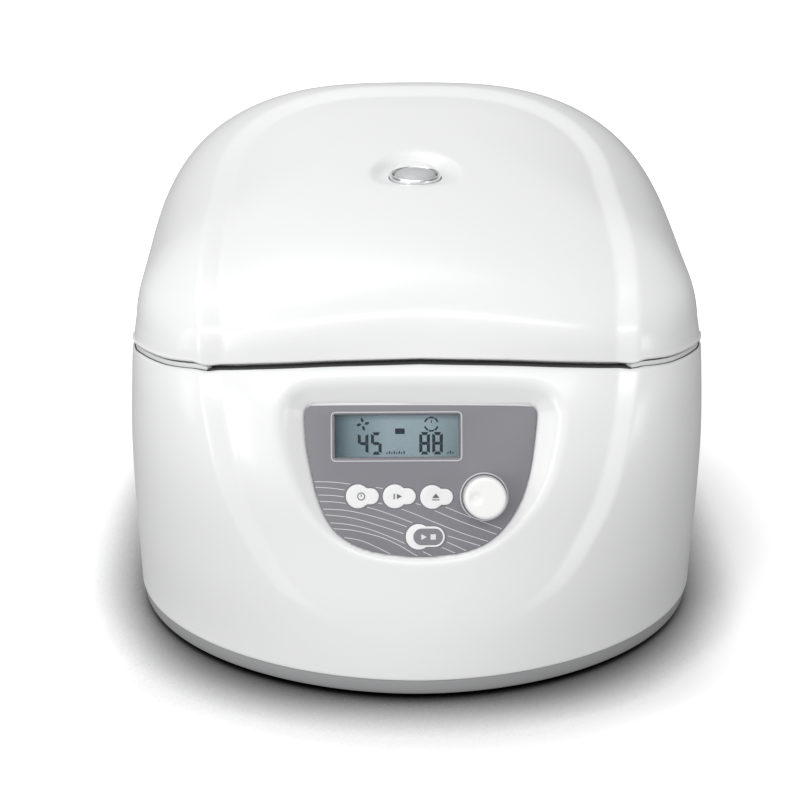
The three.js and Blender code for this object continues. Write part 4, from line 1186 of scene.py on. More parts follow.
# across, up along each pinstripe, top to bottom
PINSTRIPES = [
    [(-51.5, 35.6), (-43.1, 35.4), (-32.2, 34.0), (-20.0, 32.4), (-1.1, 27.3), (11.1, 23.3),
     (24.9, 17.6), (42.8, 10.9)],
    [(-51.1, 32.9), (-43.1, 32.4), (-36.0, 31.3), (-19.6, 29.3), (-2.4, 24.8), (6.5, 21.3),
     (20.7, 15.3), (30.0, 11.9), (40.5, 8.1)],
    [(-50.3, 29.1), (-42.3, 28.8), (-36.0, 27.9), (-26.3, 26.2), (-17.5, 24.3), (-9.5, 22.1),
     (3.9, 16.7), (20.7, 9.9), (37.5, 4.5)],
    [(-49.4, 26.0), (-41.4, 25.6), (-33.9, 24.5), (-26.3, 23.1), (-16.2, 20.0), (-4.5, 15.5),
     (12.3, 9.1), (24.9, 5.1), (33.3, 2.4)],
    [(-47.8, 22.2), (-38.9, 21.8), (-31.4, 20.6), (-23.8, 18.7), (-12.9, 15.5), (-4.5, 12.5),
     (11.5, 6.4), (24.5, 0.4)],
    [(-46.5, 19.4), (-38.1, 18.6), (-29.7, 16.9), (-21.3, 14.3), (-12.9, 11.6), (-4.5, 8.6),
     (10.7, 3.0), (19.5, -0.9)],
    [(-44.0, 15.5), (-36.4, 14.8), (-28.0, 13.1), (-19.6, 10.3), (-12.9, 7.5), (-4.5, 3.7),
     (8.1, -2.2)],
    [(-42.4, 12.6), (-34.7, 12.0), (-27.2, 10.5), (-19.6, 8.4), (-11.2, 4.7), (-4.5, 0.7),
     (1.0, -2.4)],
    [(-37.2, 8.3), (-29.7, 6.9), (-23.0, 4.2), (-16.2, 0.8), (-12.0, -1.4)],
]


def key_outline(name, grow=0.0):
    """Round head with a pill tail to its right, as one outline."""
    x, y, head, tail, end = KEY_SHAPES[name]
    head, tail, end = head + grow, tail + grow, end + grow
    join_angle = math.asin(tail / head)
    arc = np.linspace(join_angle, 2 * math.pi - join_angle, 90)
    cap = np.linspace(-math.pi / 2, math.pi / 2, 40)
    return np.vstack([
        np.stack([x + head * np.cos(arc), y + head * np.sin(arc)], 1),
        np.stack([end - tail + tail * np.cos(cap), y + tail * np.sin(cap)], 1)])


def soft_key_outline(name, grow=0.0):
    points = resample(key_outline(name, grow), 200)
    for _ in range(2):
        points = 0.25 * np.roll(points, 1, axis=0) + 0.5 * points + 0.25 * np.roll(points, -1, axis=0)
    return points


def fascia():
    levels = [(-0.1, -1.6), (0, -1.5), (0, -0.3), (-0.1, -0.08), (-0.32, 0.0)]
    o = solid("fas", extrude(FASCIA, levels, on_panel))
    holes = [soft_key_outline(name, 0.17) for name in KEY_SHAPES]
    holes += [rounded(-41.9, 19.6, 47.0, 68.3, 0.5, 3), disc(4.2, 64, KNOB_X, KNOB_Y)]
    hole_levels = [(0, -3), (0, -0.1), (0.08, 0.02), (0.08, 2)]
    carve(o, *[extrude(hole, hole_levels, on_panel) for hole in holes])
    finish(o, "fascia", "control_fascia", angle=30)


def ribbon(path, width=0.34, low=-0.02, high=0.035):
    """Fine raised line on the panel."""
    rings = []
    for point, normal in zip(path, side_normals(path)):
        foot, top = normal * width / 2, normal * width * 0.3
        rings.append(on_panel([(*(point + foot), low), (*(point + top), high),
                               (*(point - top), high), (*(point - foot), low)]))
    return skin(rings)


def pinstripes():
    """Sweeping lines over the lower half, broken round the keys and the knob."""
    holes = [key_outline(name, 0.9) for name in KEYS] + [key_outline("run", 1.1)]
    geos = []
    for line in PINSTRIPES:
        path = np.array(line)
        length = np.r_[0, np.cumsum(np.hypot(*np.diff(path, axis=0).T))]
        at = np.linspace(0, length[-1], 220)
        path = np.stack([curve(at, length, path[:, 0]), curve(at, length, path[:, 1])], 1)
        for _ in range(60):
            path[1:-1] = 0.25 * path[:-2] + 0.5 * path[1:-1] + 0.25 * path[2:]
        free = signed_distance(path, FASCIA) < -0.2
        for hole in holes:
            free &= signed_distance(path, hole) > 0
        free &= np.hypot(path[:, 0] - KNOB_X, path[:, 1] - KNOB_Y) > 12.0
        breaks = np.flatnonzero(free[1:] != free[:-1]) + 1
        for part, shown in zip(np.split(path, breaks), np.split(free, breaks)):
            if shown[0] and len(part) > 3:
                geos.append(ribbon(part))
    piece("fascia_pinstripes", join(geos), "ink", angle=40)


def corner_first(x0, x1, y0, y1, radius):
    """Rounded rectangle of 200 points that starts nearest its lower left corner."""
    points = resample(rounded(x0, x1, y0, y1, radius, 8), 200)
    return np.roll(points, -np.argmin(np.hypot(*(points - [x0, y0]).T)), axis=0)


def panel_loop(levels):
    """Closed moulding from (outline, outset, height) levels."""
    return skin([on_panel(ring(offset(plan, out), height)) for plan, out, height in levels], True)


def display():
    piece("display_face", panel_box(-41.5, 19.2, 47.35, 67.95, -1.5, -0.75, 0.12), "lcd",
          "display_pane")
    piece("display_cover", panel_box(-41.6, 19.3, 47.25, 68.05, -0.5, -0.3, 0.05), "glass")
    outer = corner_first(-43.4, 20.7, 45.2, 69.6, 2.3)
    inner = corner_first(-42.1, 19.4, 46.6, 68.2, 0.6)
    frame = [(0, -0.1), (0, 0.14), (-0.14, 0.28), (-0.42, 0.28), (-0.56, 0.14), (-0.56, -0.1)]
    piece("display_frame", panel_loop([(outer, out, height) for out, height in frame]), "trim",
          "display_bezel", angle=40)
    piece("display_surround", panel_loop([
        (outer, -0.5, -0.1), (outer, -0.5, 0.06), (inner, 0.3, 0.1), (inner, 0.1, 0.0),
        (inner, 0.0, -0.28), (inner, 0.0, -0.6), (inner, 0.4, -0.6)]), "fascia", angle=40)


def flat(points, levels=SEGMENT_LEVELS):
    """Thin flat mark on the panel."""
    points = np.array(points, float)
    if signed_area(points) < 0:
        points = points[::-1]
    return skin([on_panel(ring(points, height)) for height in levels])


def flat_bar(x0, x1, y0, y1, levels=SEGMENT_LEVELS):
    return flat([(x0, y0), (x1, y0), (x1, y1), (x0, y1)], levels)


def annulus(x, y, r0, r1, levels=SEGMENT_LEVELS, n=64, span=None):
    """Flat ring, or an arc of it when span gives two angles."""
    first, last = span or (0.0, 2 * math.pi)
    section = ((r0, levels[0]), (r0, levels[1]), (r1, levels[1]), (r1, levels[0]))
    rings = []
    for angle in np.linspace(first, last, n, endpoint=span is not None):
        cos, sin = math.cos(angle), math.sin(angle)
        rings.append(on_panel([(x + r * cos, y + r * sin, height) for r, height in section]))
    return skin(rings, loop=span is None)


def digit(lit, x0):
    """Seven-segment digit; lit names its segments."""
    y0, width, height, thick, gap = 48.5, 5.2, 11.0, 1.5, 0.08
    mid, half = height / 2, thick / 2
    tip = gap * 0.6
    near, far = half + gap, width - half - gap
    inner, outer = thick + gap, width - thick - gap
    # the side segments, by distance in from the digit's edge
    above = [(0, height - half - gap), (0, mid + gap), (half, mid + tip),
             (thick, mid + half + gap), (thick, height - thick - gap)]
    below = [(0, half + gap), (0, mid - gap), (half, mid - tip), (thick, mid - half - gap),
             (thick, thick + gap)]
    segments = {
        "a": [(near, height), (far, height), (outer, height - thick), (inner, height - thick)],
        "b": [(width - x, y) for x, y in above],
        "c": [(width - x, y) for x, y in below],
        "d": [(near, 0), (far, 0), (outer, thick), (inner, thick)],
        "e": below,
        "f": above,
        "g": [(near, mid), (inner, mid - half), (outer, mid - half), (far, mid),
              (outer, mid + half), (inner, mid + half)],
    }
    return [flat([(x0 + x, y0 + y) for x, y in segments[name]]) for name in lit]


def fan_blade(angle):
    along = np.array([math.cos(angle), math.sin(angle)])
    across = np.array([-math.sin(angle), math.cos(angle)])
    t = np.linspace(0, 1, 14)
    spine = np.array([-27.8, 63.5]) + (0.75 + 2.5 * t)[:, None] * along
    bend, half = 0.35 * t * t, 0.7 * np.sin(math.pi * t) ** 0.8
    upper, lower = (spine + (bend + side * half)[:, None] * across for side in (1, -1))
    return flat(np.vstack([upper, lower[::-1][1:-1]]))


def display_segments():
    geos = []
    for lit, x in (("bcfg", -30.3), ("acdfg", -23.9), ("abcdefg", -0.3), ("abcdefg", 6.0)):
        geos += digit(lit, x)
    geos += [fan_blade(math.radians(97) + k * math.pi / 2) for k in range(4)]
    # broken ring with a short hand in it
    for start in (18, 68, 118, 198, 248, 298):
        span = (math.radians(start), math.radians(start + 44))
        geos.append(annulus(5.6, 63.3, 2.85, 3.7, n=20, span=span))
    geos.append(flat_bar(5.4, 5.85, 63.9, 65.3))
    geos.append(flat_bar(-12.1, -7.4, 58.6, 61.3))
    # rows of ticks beside the digits
    for x, count in ((-16.4, 8), (13.4, 3)):
        for k in range(count):
            top = 50.3 if k % 2 else 49.7
            geos.append(flat_bar(x + k * 1.2, x + 0.6 + k * 1.2, 48.8, top))
    piece("display_segments", join(geos), "digit", angle=30)


def key_cap(name, height):
    plan = soft_key_outline(name)
    levels = [(-0.2, -1.02), (0, -0.85), (0, height - 0.42), (-0.07, height - 0.2),
              (-0.24, height - 0.06), (-0.5, height)]
    rings = [on_panel(ring(offset(plan, out), z)) for out, z in levels]
    # shallow dish in the face
    centre = plan.mean(0)
    for share, dip in ((0.72, -0.02), (0.4, -0.07), (0.12, -0.1)):
        rings.append(on_panel(ring(centre + (offset(plan, -0.5) - centre) * share, height + dip)))
    piece("key_" + name + "_cap", skin(rings), "key", "key_" + name, name + "_key", angle=50)


def key_marks():
    """Raised marks: ring, bar and triangle shapes on the key faces."""
    def mark(name, geos, key, mat):
        piece(name, join(geos), mat, body=key, angle=30)

    top = (0.72, 0.86)
    x, y = KEYS["mode"]
    mark("mode_key_mark", [
        annulus(x + 1.6, y, 1.5, 1.95, top),
        flat_bar(x + 1.4, x + 1.8, y - 0.2, y + 1.1, top)], "mode_key", "ink_dark")
    x, y = KEYS["pulse"]
    mark("pulse_key_mark", [
        flat_bar(x - 0.6, x, y - 1.3, y + 1.3, top),
        flat([(x + 1.0, y - 1.3), (x + 3.4, y), (x + 1.0, y + 1.3)], top)],
        "pulse_key", "ink_dark")
    x, y = KEYS["lid"]
    mark("lid_key_mark", [
        flat_bar(x, x + 3.6, y - 1.6, y - 1.15, top),
        flat([(x, y - 0.5), (x + 3.6, y - 0.5), (x + 1.8, y + 1.7)], top)],
        "lid_key", "ink_dark")
    inlay = pill(-3.4, 11.0, 4.05, 8.35, 40)
    mark("run_key_inlay", [extrude(inlay, [(0, 0.8), (0, 1.02), (-0.12, 1.1)], on_panel)],
         "run_key", "fascia")
    border = [(0.02, 0.8), (0.02, 1.1), (0.2, 1.24), (0.6, 1.24), (0.78, 1.1), (0.78, 0.8)]
    mark("run_key_border", [panel_loop([(inlay, out, z) for out, z in border])], "run_key", "key")
    top = (1.04, 1.16)
    mark("run_key_mark", [
        flat([(0.4, 6.9), (3.1, 8.35), (0.4, 9.8)], top),
        flat_bar(4.9, 7.5, 7.05, 9.65, top)], "run_key", "ink")


def knob():
    face_z = 14.0
    # radius, height
    profile = [
        (0, 1.4), (9.9, 1.4), (10.35, 1.55), (10.6, 1.95), (10.6, 3.2), (10.48, 3.45),
        (10.48, 3.75), (10.58, 3.95), (10.3, 11.9), (10.15, 12.8), (9.75, 13.55), (9.1, 13.93),
        (8.4, face_z)]
    profile += [(8.1 - 0.4 * k, face_z) for k in range(20)] + [(0, face_z)]
    rings = [turned_ring(radius, z, 192) for radius, z in profile]
    # finger dip on the left of the face
    for points in rings:
        from_dip = np.hypot(points[:, 0] + 4.6, points[:, 1])
        dip = 0.62 * (1 - smoothstep(0.6, 4.4, from_dip))
        points[:, 2] = np.where(points[:, 2] > 13.9, points[:, 2] - dip, points[:, 2])
    cap = placed(skin(rings), lambda p: on_panel(p + [KNOB_X, KNOB_Y, 0]))
    piece("knob_cap", cap, "knob", "control_knob", "knob", angle=40)
    lathe("knob_light_ring", [
        (11.05, -0.05), (11.85, -0.05), (11.85, 0.6), (11.6, 0.85), (11.3, 0.85), (11.05, 0.6)],
        200, "trim", "knob_collar", loop=True, centre=KNOB_CENTRE, basis=PANEL_BASIS, radius=0.15)
    lathe("knob_shaft", [(0, -11.7), (3, -11.7), (3, 8.0), (2.5, 8.6), (0, 8.6)], 64, "bright",
          "encoder_shaft", "knob", centre=KNOB_CENTRE, basis=PANEL_BASIS, radius=0.2)


# ------------------------------------------------------------------ hinge
def hinge_ear(x):
    """Rounded upright with an eye for the pin."""
    angles = np.linspace(-0.35, math.pi + 0.35, 40)
    arc = [(HINGE_Y + 6 * math.cos(t), HINGE_Z + 6 * math.sin(t)) for t in angles]
    profile = np.array([(HINGE_Y + 2.4, 129.0)] + arc + [(HINGE_Y - 5.6, 129.0)])
    rings = []
    for dx, out in ((-1.9, -0.3), (-1.6, 0), (1.6, 0), (1.9, -0.3)):
        rings.append(np.column_stack([np.full(len(profile), x + dx), offset(profile, out)]))
    o = solid("ear", skin(rings))
    carve(o, hinge_rod(2.8, x - 4, x + 4), solver="EXACT")
    return take_geometry(o)


def hinge_bracket():
    geos = [rounded_box(-74, 74, 152, 170.5, 127.3, 129.8, 0.5)]
    geos += [hinge_ear(x) for x in (-70.8, -46.7, 46.7, 70.8)]
    piece("hinge_plate", join(geos), "steel", "hinge_bracket", angle=30)
    screws("hinge_screws", [(x, 159, 129.7) for x in (-58.5, -34, 34, 58.5)], UP, 3.2, 1.6)
    profile = [
        (0, -74), (2.5, -74), (2.5, -73.1), (2.1, -73.1), (2.1, -72.9), (2.5, -72.9),
        (2.5, 72.9), (2.1, 72.9), (2.1, 73.1), (2.5, 73.1), (2.5, 74), (0, 74)]
    rod = revolve(profile, 48, centre=(0, HINGE_Y, HINGE_Z), basis=X_BASIS, radius=0.1, seg=2)
    piece("hinge_rod", rod, "bright", "hinge_pin", angle=30)


def torsion_spring():
    turns, x0, x1, radius = 24, -33.0, 33.0, 4.2
    turn = np.arange(turns * 26 + 1) / 26.0
    angle = 2 * math.pi * turn
    path = np.stack([x0 + (x1 - x0) * turn / turns, HINGE_Y + radius * np.cos(angle),
                     HINGE_Z + radius * np.sin(angle)], 1)
    piece("torsion_spring", tube(path, 0.85, 12), "spring", "hinge_spring", angle=60)


def hinge_arm(tag, side):
    x = side * 57
    o = solid("arm", rounded_box(x - 8, x + 8, 155.4, HINGE_Y, HINGE_Z - 3, HINGE_Z + 6.25, 0.5))
    weld(o, hinge_rod(6.3, x - 8, x + 8, n=64, edge=0.5))
    carve(o, hinge_rod(2.75, x - 10, x + 10))
    geos = [rounded_box(x - 15, x + 15, 154.1, 156.6, 149.5, 166, 0.7), take_geometry(o)]
    # gussets from the web up the plate
    gusset = [(156.2, HINGE_Z + 5.9), (156.2, 163.6), (157.0, 163.6), (162.0, HINGE_Z + 5.9)]
    for dx in (-6, 0, 6):
        geos.append(skin([[(x + dx + half, y, z) for y, z in gusset] for half in (-0.8, 0.8)]))
    piece("hinge_arm_" + tag, join(geos), "shell", "lid_arm_" + tag, "lid", angle=35)
    screws("arm_screws_" + tag, [(x + dx, 156.5, 161.5) for dx in (-11.2, 11.2)], REAR_BASIS,
           2.6, 1.3, body="lid")


# ------------------------------------------------------------------ lid locks and hooks
def lid_hook(tag, x):
    def on_blade(points):
        return np.stack([points[:, 0], HOOK_Y + points[:, 2], points[:, 1]], -1)

    o = solid("hook", rounded_box(x - 8, x + 8, HOOK_Y - 6, HOOK_Y + 6, 144.6, 146.7, 0.5))
    blade = np.array(fillet(
        [(x - 6, 145.2), (x - 6, 122.5), (x - 4, 120.5), (x + 4, 120.5), (x + 6, 122.5),
         (x + 6, 145.2)], [0, 1.2, 1.2, 1.2, 1.2, 0], 5))
    weld(o, extrude(blade, [(-0.3, -1.5), (0, -1.2), (0, 1.2), (-0.3, 1.5)], on_blade))
    eye = rounded(x - 3.8, x + 3.8, 124.5, 131.5, 0.8, 4)
    carve(o, extrude(eye, [(0.5, -2), (0.4, -1.5), (0, -1.0), (0, 1.0), (0.4, 1.5), (0.5, 2)],
                     on_blade))
    finish(o, "steel", "lid_hook_" + tag, "lid", angle=30)
    places = [(x + dx, HOOK_Y + dy, 144.7) for dx, dy in ((-5.4, -3.6), (5.4, 3.6))]
    screws("hook_screws_" + tag, places, DOWN, 1.7, 0.9, "bright", "lid")


def lid_lock(tag, x):
    o = solid("lock", rounded_box(x - 10, x + 10, -141.5, -122.5, 116, 134.6, 0.8))
    weld(o, rounded_box(x - 7, x + 7, -145, -141, 117, 129, 0.6))
    carve(o, box(x - 3.4, x + 3.4, -139.5, -110, 125.3, 130.7))
    for notch_x in (x - 12, x + 8.9):
        carve(o, rounded_box(notch_x, notch_x + 3.1, -138, -126, 119, 123, 0.5))
    finish(o, "black", "lock_body_" + tag, angle=30)
    o = solid("bolt", rounded_box(x - 3, x + 3, -138.2, -117.8, 125.7, 130.3, 0.45))
    # sloped nose
    wedge = [(-121.5, 131.2), (-116.5, 131.2), (-116.5, 127.6)]
    carve(o, skin([[(x + dx, y, z) for y, z in wedge] for dx in (-4, 4)]))
    finish(o, "bright", "lock_bolt_" + tag, "bolt_" + tag, angle=30)


# ------------------------------------------------------------------ chamber
def chamber():
    lathe("chamber_seal", [
        (105.5, 133.4), (109.6, 133.4), (109.6, 138.3), (115.4, 138.3), (115.1, 140.2),
        (113.4, 140.6), (112.6, 140.1), (111.2, 140.1), (110.4, 140.6), (106.6, 140.6),
        (105.5, 139.6)], 240, "rubber", "chamber_gasket", loop=True, centre=AXIS)
    # radius, height, corner rounding
    *pan, = zip(
        (115.6, 133.1, 0.3), (103.6, 133.1, 1.6), (103.6, 80, 6), (100, 71, 6), (90, 67.5, 5),
        (60, 67.5, 0.6), (59, 67.2, 0.6), (44, 67.2, 0.6), (43, 67.5, 0.6), (24, 67.5, 2),
        (19.6, 69.6, 1.5), (18.5, 73, 0.3), (17.3, 73, 0.3), (18.5, 68.6, 1.5), (23.4, 66.3, 2),
        (90, 66.3, 5), (100.8, 70, 6), (104.8, 79.6, 6), (104.8, 131.9, 1.2), (115.6, 131.9, 0.3))
    lathe("chamber_pan", list(zip(*pan[:2])), 240, "bowl", "chamber_bowl", loop=True, centre=AXIS,
          radius=pan[2], seg=6)
    lathe("armour_ring", [(108.8, 57), (108.8, 131.5), (107, 131.5), (107, 58.8), (88, 58.8),
                          (88, 57)], 200, "steel", "guard_ring", loop=True, centre=AXIS, radius=0.5)
    places = [(x, y, 58.8) for x, y in around(RING_SCREW_RADIUS, 4, math.pi / 4)]
    screws("ring_screws", places, UP, 3.4, 2.0)


def rotor():
    # radius, height, corner rounding
    *body, = zip(
        (6.2, 80.5, 0.4), (26, 80.5, 3), (34, 78.5, 6), (58, 77, 5), (74, 81.5, 9),
        (91.5, 101, 8), (96, 116, 5), (96, 120.4, 0.2), (95.5, 120.9, 0.3), (95.5, 122.1, 0.3),
        (96, 122.6, 0.2), (96, 127, 1.5), (94.6, 130, 1.5), (90, 131, 2.2), (84, 129.3, 2),
        (40, 103.9, 5), (31, 101, 5), (6.2, 101, 0.5))
    o = solid("rotor", revolve(list(zip(*body[:2])), 288, True, AXIS, radius=body[2], seg=6))
    bore = revolve([(0, -28), (5.5, -27.4), (8.6, -23), (8.6, 14), (0, 14)], 72,
                   radius=[0, 2.5, 3, 0, 0], seg=5)
    collar = revolve([(8.7, -1.6), (10.3, -1.6), (10.3, 0.35), (9.7, 0.75), (9.1, 0.75),
                      (8.7, 0.35)], 72, True, radius=0.2, seg=3)
    bores, collars = [], []
    for i in range(12):
        matrix = np.array(
            Matrix.Translation(AXIS) @ Matrix.Rotation(i * math.pi / 6, 4, "Z")
            @ Matrix.Translation((62, 0, 116.6)) @ Matrix.Rotation(-math.radians(30), 4, "Y"))
        for geo, out in ((bore, bores), (collar, collars)):
            out.append(placed(geo, lambda p: p @ matrix[:3, :3].T + matrix[:3, 3]))
    carve(o, *bores)
    finish(o, "rotor", "rotor_body", "rotor", angle=30)
    piece("rotor_bore_collars", join(collars), "rotor", body="rotor", angle=30)
    # one dot at each bore, three at every third
    dots = []
    for i in range(12):
        for y in ((-2.0, 0.0, 2.0) if i % 3 == 0 else (0.0,)):
            dots.append(spun(cylinder(0.55, 130.7, 131.16, 89.6, y, 20, 0.08, 2), i * math.pi / 6))
    piece("rotor_position_dots", join(dots), "ink", body="rotor")


def rotor_nut():
    profile = [
        (0, 113.4), (5.4, 113.4), (5.4, 101.3), (13.2, 101.3), (14, 102.3), (14, 117.6),
        (12.6, 119), (5.2, 119), (4.6, 118.5), (0, 118.5)]
    o = solid("nut", revolve(profile, 192, centre=AXIS,
                             radius=[0, 0.2, 0.2, 0.3, 0.3, 0.6, 0.8, 0.2, 0.2, 0]))
    carve(o, *[cylinder(2.2, 104, 125, x, y, 40, None) for x, y in around(15.2, 8)])
    carve(o, box(AXIS_X - 3.6, AXIS_X + 3.6, AXIS_Y - 0.7, AXIS_Y + 0.7, 117.6, 125))
    bevel(o, 0.25, 40)
    finish(o, "bright", "rotor_nut", "rotor", angle=30)


# ------------------------------------------------------------------ motor
def motor_shaft():
    profile = [
        (0, 15), (4.6, 15), (5, 15.4), (5, 40), (4.7, 40.2), (4.7, 41), (5, 41.2), (5, 101),
        (4.7, 101.3), (5, 102.1), (4.7, 102.8), (5, 103.6), (4.7, 104.3), (5, 105.1),
        (4.7, 105.8), (5, 106.6), (4.7, 107.3), (5, 108.1), (4.7, 108.8), (5, 109.6),
        (5, 112.4), (4.4, 113.1), (0, 113.1)]
    piece("drive_shaft", revolve(profile, 72, centre=AXIS, radius=None), "bright",
          "motor_shaft", "rotor", angle=35)
    o = solid("mag", sleeve(5.3, 20, 21, 42, 96, 0.4))
    carve(o, *[cylinder(0.9, 19, 44, x, y, 24, None) for x, y in around(20.4, 4, 0.4)])
    finish(o, "magnet", "rotor_magnet", "rotor", angle=30)


def motor_can():
    # radius, height, corner rounding
    *can, = zip(
        (34, 14, 0.3), (34, 24, 0.2), (33.5, 24.5, 0.2), (33.5, 25.3, 0.2), (34, 25.8, 0.2),
        (34, 51.7, 1.4), (8.9, 51.7, 0.3), (8.9, 44, 0.3), (11.4, 44, 0.3), (11.4, 49.2, 0.6),
        (31.5, 49.2, 0.6), (31.5, 14, 0.2))
    o = solid("can", revolve(list(zip(*can[:2])), 144, True, AXIS, radius=can[2]))
    slot = placed(extrude(pill(30.5, 43.5, 1.6, 0, 8), [(0, 29), (0, 36)]), lambda p: p[:, ::-1])
    carve(o, *[spun(slot, (i + 0.5) * math.pi / 4) for i in range(8)])
    finish(o, "can", "motor_can", angle=30)
    profile = [(0, 10.5), (34, 10.5), (34, 13.7), (13, 13.7), (13, 20), (10.8, 20), (10.8, 13.9),
               (0, 13.9)]
    o = solid("cap", revolve(profile, 120, centre=AXIS, radius=[0, 0.8, 0.4, 0.6, 0.3, 0.3, 0.3, 0],
                             seg=3))
    carve(o, *[cylinder(2.4, 9, 12.6, x, y, 32, None) for x, y in around(27, 4)])
    finish(o, "can", "motor_end_cap", angle=30)


def squared(value, gain):
    """Flattens the peaks of a sine, so a winding follows a boxy path."""
    return math.copysign(min(1, gain * abs(value)), value)


def stator():
    """Laminated ring with nine teeth, each wound with copper."""
    geos = [take_geometry(solid("stator", sleeve(28.4, 31.2, 18, 43.5, 108, 0.2, 2)))]
    tooth = rounded_box(22.4, 29, -2.4, 2.4, 19, 42.5, 0.3)
    shoe = rounded_box(21.0, 22.6, -5.2, 5.2, 19, 42.5, 0.5)
    turns, steps = 7, 24
    path = []
    for k in range(turns * steps + 1):
        t = 2 * math.pi * k / steps
        path.append((23.6 + 4.0 * k / (turns * steps), 3.3 * squared(math.cos(t), 1.25),
                     30.75 + 12.0 * squared(math.sin(t), 1.15)))
    coil = tube(path, 0.36, 6)
    angles = [i * 2 * math.pi / 9 + math.pi / 9 for i in range(9)]
    geos += [spun(geo, angle) for angle in angles for geo in (tooth, shoe)]
    piece("stator_laminations", join(geos), "steel", angle=30)
    piece("stator_coils", join([spun(coil, angle) for angle in angles]), "copper",
          "motor_stator", angle=60)


def bearing(name, r0, r1, z0, z1):
    race = (r1 - r0) * 0.27
    shield = (r0 + race - 0.1, r1 - race + 0.1, z0 + 0.7, z1 - 0.7)
    geos = [sleeve(r0, r0 + race, z0, z1, 72, 0.3), sleeve(r1 - race, r1, z0, z1, 72, 0.3),
            sleeve(*shield, 72, 0.2, 2)]
    piece(name + "_race", join(geos), "bright", name, angle=30)


def motor_mount():
    o = solid("mp", sleeve(9.5, 74, 52, 55, 160, 0.5))
    carve(o, *[cylinder(8, 50, 57, x, y, 48, None) for x, y in around(42, 6, 0.52)])
    bevel(o, 0.25, 50)
    finish(o, "steel", "motor_plate", angle=30)
    dampers = around(DAMPER_RADIUS, 3, math.pi / 2)
    places = [(x, y, PLATE_TOP) for x, y in around(22, 4) + dampers]
    screws("motor_plate_screws", places, UP, 3.2, 1.8, "bright")
    profile = [(0, 41.75), (9, 41.75), (9, 44.4), (7.6, 46.8), (9, 49.3), (9, 51.95), (0, 51.95)]
    for i, (x, y) in enumerate(dampers, 1):
        lathe("rubber_damper_%d" % i, profile, 96, "rubber", "damper_%d" % i, centre=(x, y, 0),
              radius=[0, 0.6, 1.0, 2.4, 1.0, 0.6, 0], seg=6)


# ------------------------------------------------------------------ boards
def control_board():
    piece("panel_board", join([panel_box(-52, 50, 14, 62, -15.6, -14, 0.2)]), "board",
          "control_board", angle=30)
    parts = [
        panel_box(-43, 20.3, 45.8, 60.9, -14.1, -8.4, 0.3),
        panel_box(-43, 20.3, 45.8, 67.5, -7.6, -5.3, 0.4),
        panel_box(-41, 18.3, 46.6, 60, -8.8, -7.3, 0.2),
        panel_box(KNOB_X - 6.5, KNOB_X + 6.5, KNOB_Y - 6.5, KNOB_Y + 6.5, -14.1, -6, 0.6),
    ]
    o = solid("mod", join(parts))
    carve(o, placed(cylinder(3.3, -13.2, 0, KNOB_X, KNOB_Y, 48, None), on_panel), solver="EXACT")
    finish(o, "black", angle=30)
    switches, leads = [], []
    for x, y in list(KEYS.values()) + [(2, 15.6)]:
        switches.append(panel_box(x - 3, x + 3, y - 3, y + 3, -14.1, -9.4, 0.3))
        switches.append(placed(cylinder(1.7, -9.6, -6.4, x, y, 32, 0.2), on_panel))
        for dx in (-3.0, 3.0):
            for dy in (-2.2, 2.2):
                leads.append(panel_box(x + dx - 0.5, x + dx + 0.5, y + dy - 0.3, y + dy + 0.3,
                                       -14.2, -11.6, 0.1))
    piece("tact_switches", join(switches), "gloss", angle=30)
    piece("switch_leads", join(leads), "silver", angle=30)


def power_board():
    top = 17.5
    piece("mains_board", rounded_box(-68, 50, 117, 163, 16, 17.6, 0.2), "board", "power_board",
          angle=30)
    core = [rounded_box(-58, -28, 124, 150, top, 38, 0.5),
            rounded_box(22, 44, 150, 160, top, 30, 0.8)]
    core += [rounded_box(-58.2, -27.8, 123.8, 150.2, z, z + 0.55, 0.1)
             for z in np.arange(18.6, 37.2, 0.9)]
    piece("transformer_core", join(core), "steel", angle=30)
    x0, x1, steps = -51.5, -34.5, 16 * 32
    path = []
    for k in range(steps + 1):
        t = 2 * math.pi * k / 32
        path.append((x0 + (x1 - x0) * (0.5 - 0.5 * math.cos(math.pi * (k % steps) / steps)),
                     137 + 13.9 * squared(math.cos(t), 1.2), 27.8 + 8.6 * squared(math.sin(t), 1.2)))
    piece("transformer_winding", tube(path, 0.5, 6), "copper", angle=60)
    capacitors = []
    for r, z, x, y in ((9, 40, -12, 132), (7, 34, 8, 128)):
        profile = [
            (0, top), (r - 0.6, top), (r, 18.3), (r, 19.3), (r - 0.5, 19.9), (r, 20.6),
            (r, z - 0.8), (r - 0.9, z), (r - 1.6, z - 0.25), (0, z - 0.25)]
        capacitors.append(revolve(profile, 72, centre=(x, y, 0), radius=0.2, seg=2))
    capacitors.append(rounded_box(-8, 14, 148, 160, top, 27, 0.8))
    piece("board_capacitors", join(capacitors), "gloss", angle=30)
    sink = [rounded_box(22, 44, 122, 142, 18, 22, 0.3)]
    sink += [rounded_box(22 + i * 5, 24 + i * 5, 122, 142, 21, 42, 0.35) for i in range(5)]
    piece("finned_sink", join(sink), "alu", "heat_sink", angle=30)


# ------------------------------------------------------------------ stage (metres)
FLOOR_HALF = 60.0
FLOOR_BOUNCE, FLOOR_SEEN = 0.42, 1.9    # floor brightness to other surfaces, to the camera
WORLD_BASE = 0.25                       # uniform part of the surrounding light
# broad lobes of light: azimuth from the front and elevation in degrees, strength
WORLD_LOBES = [(0, 8, 0.62), (-30, 8, 0.36), (180, 40, 0.7), (-90, 75, 0.42)]
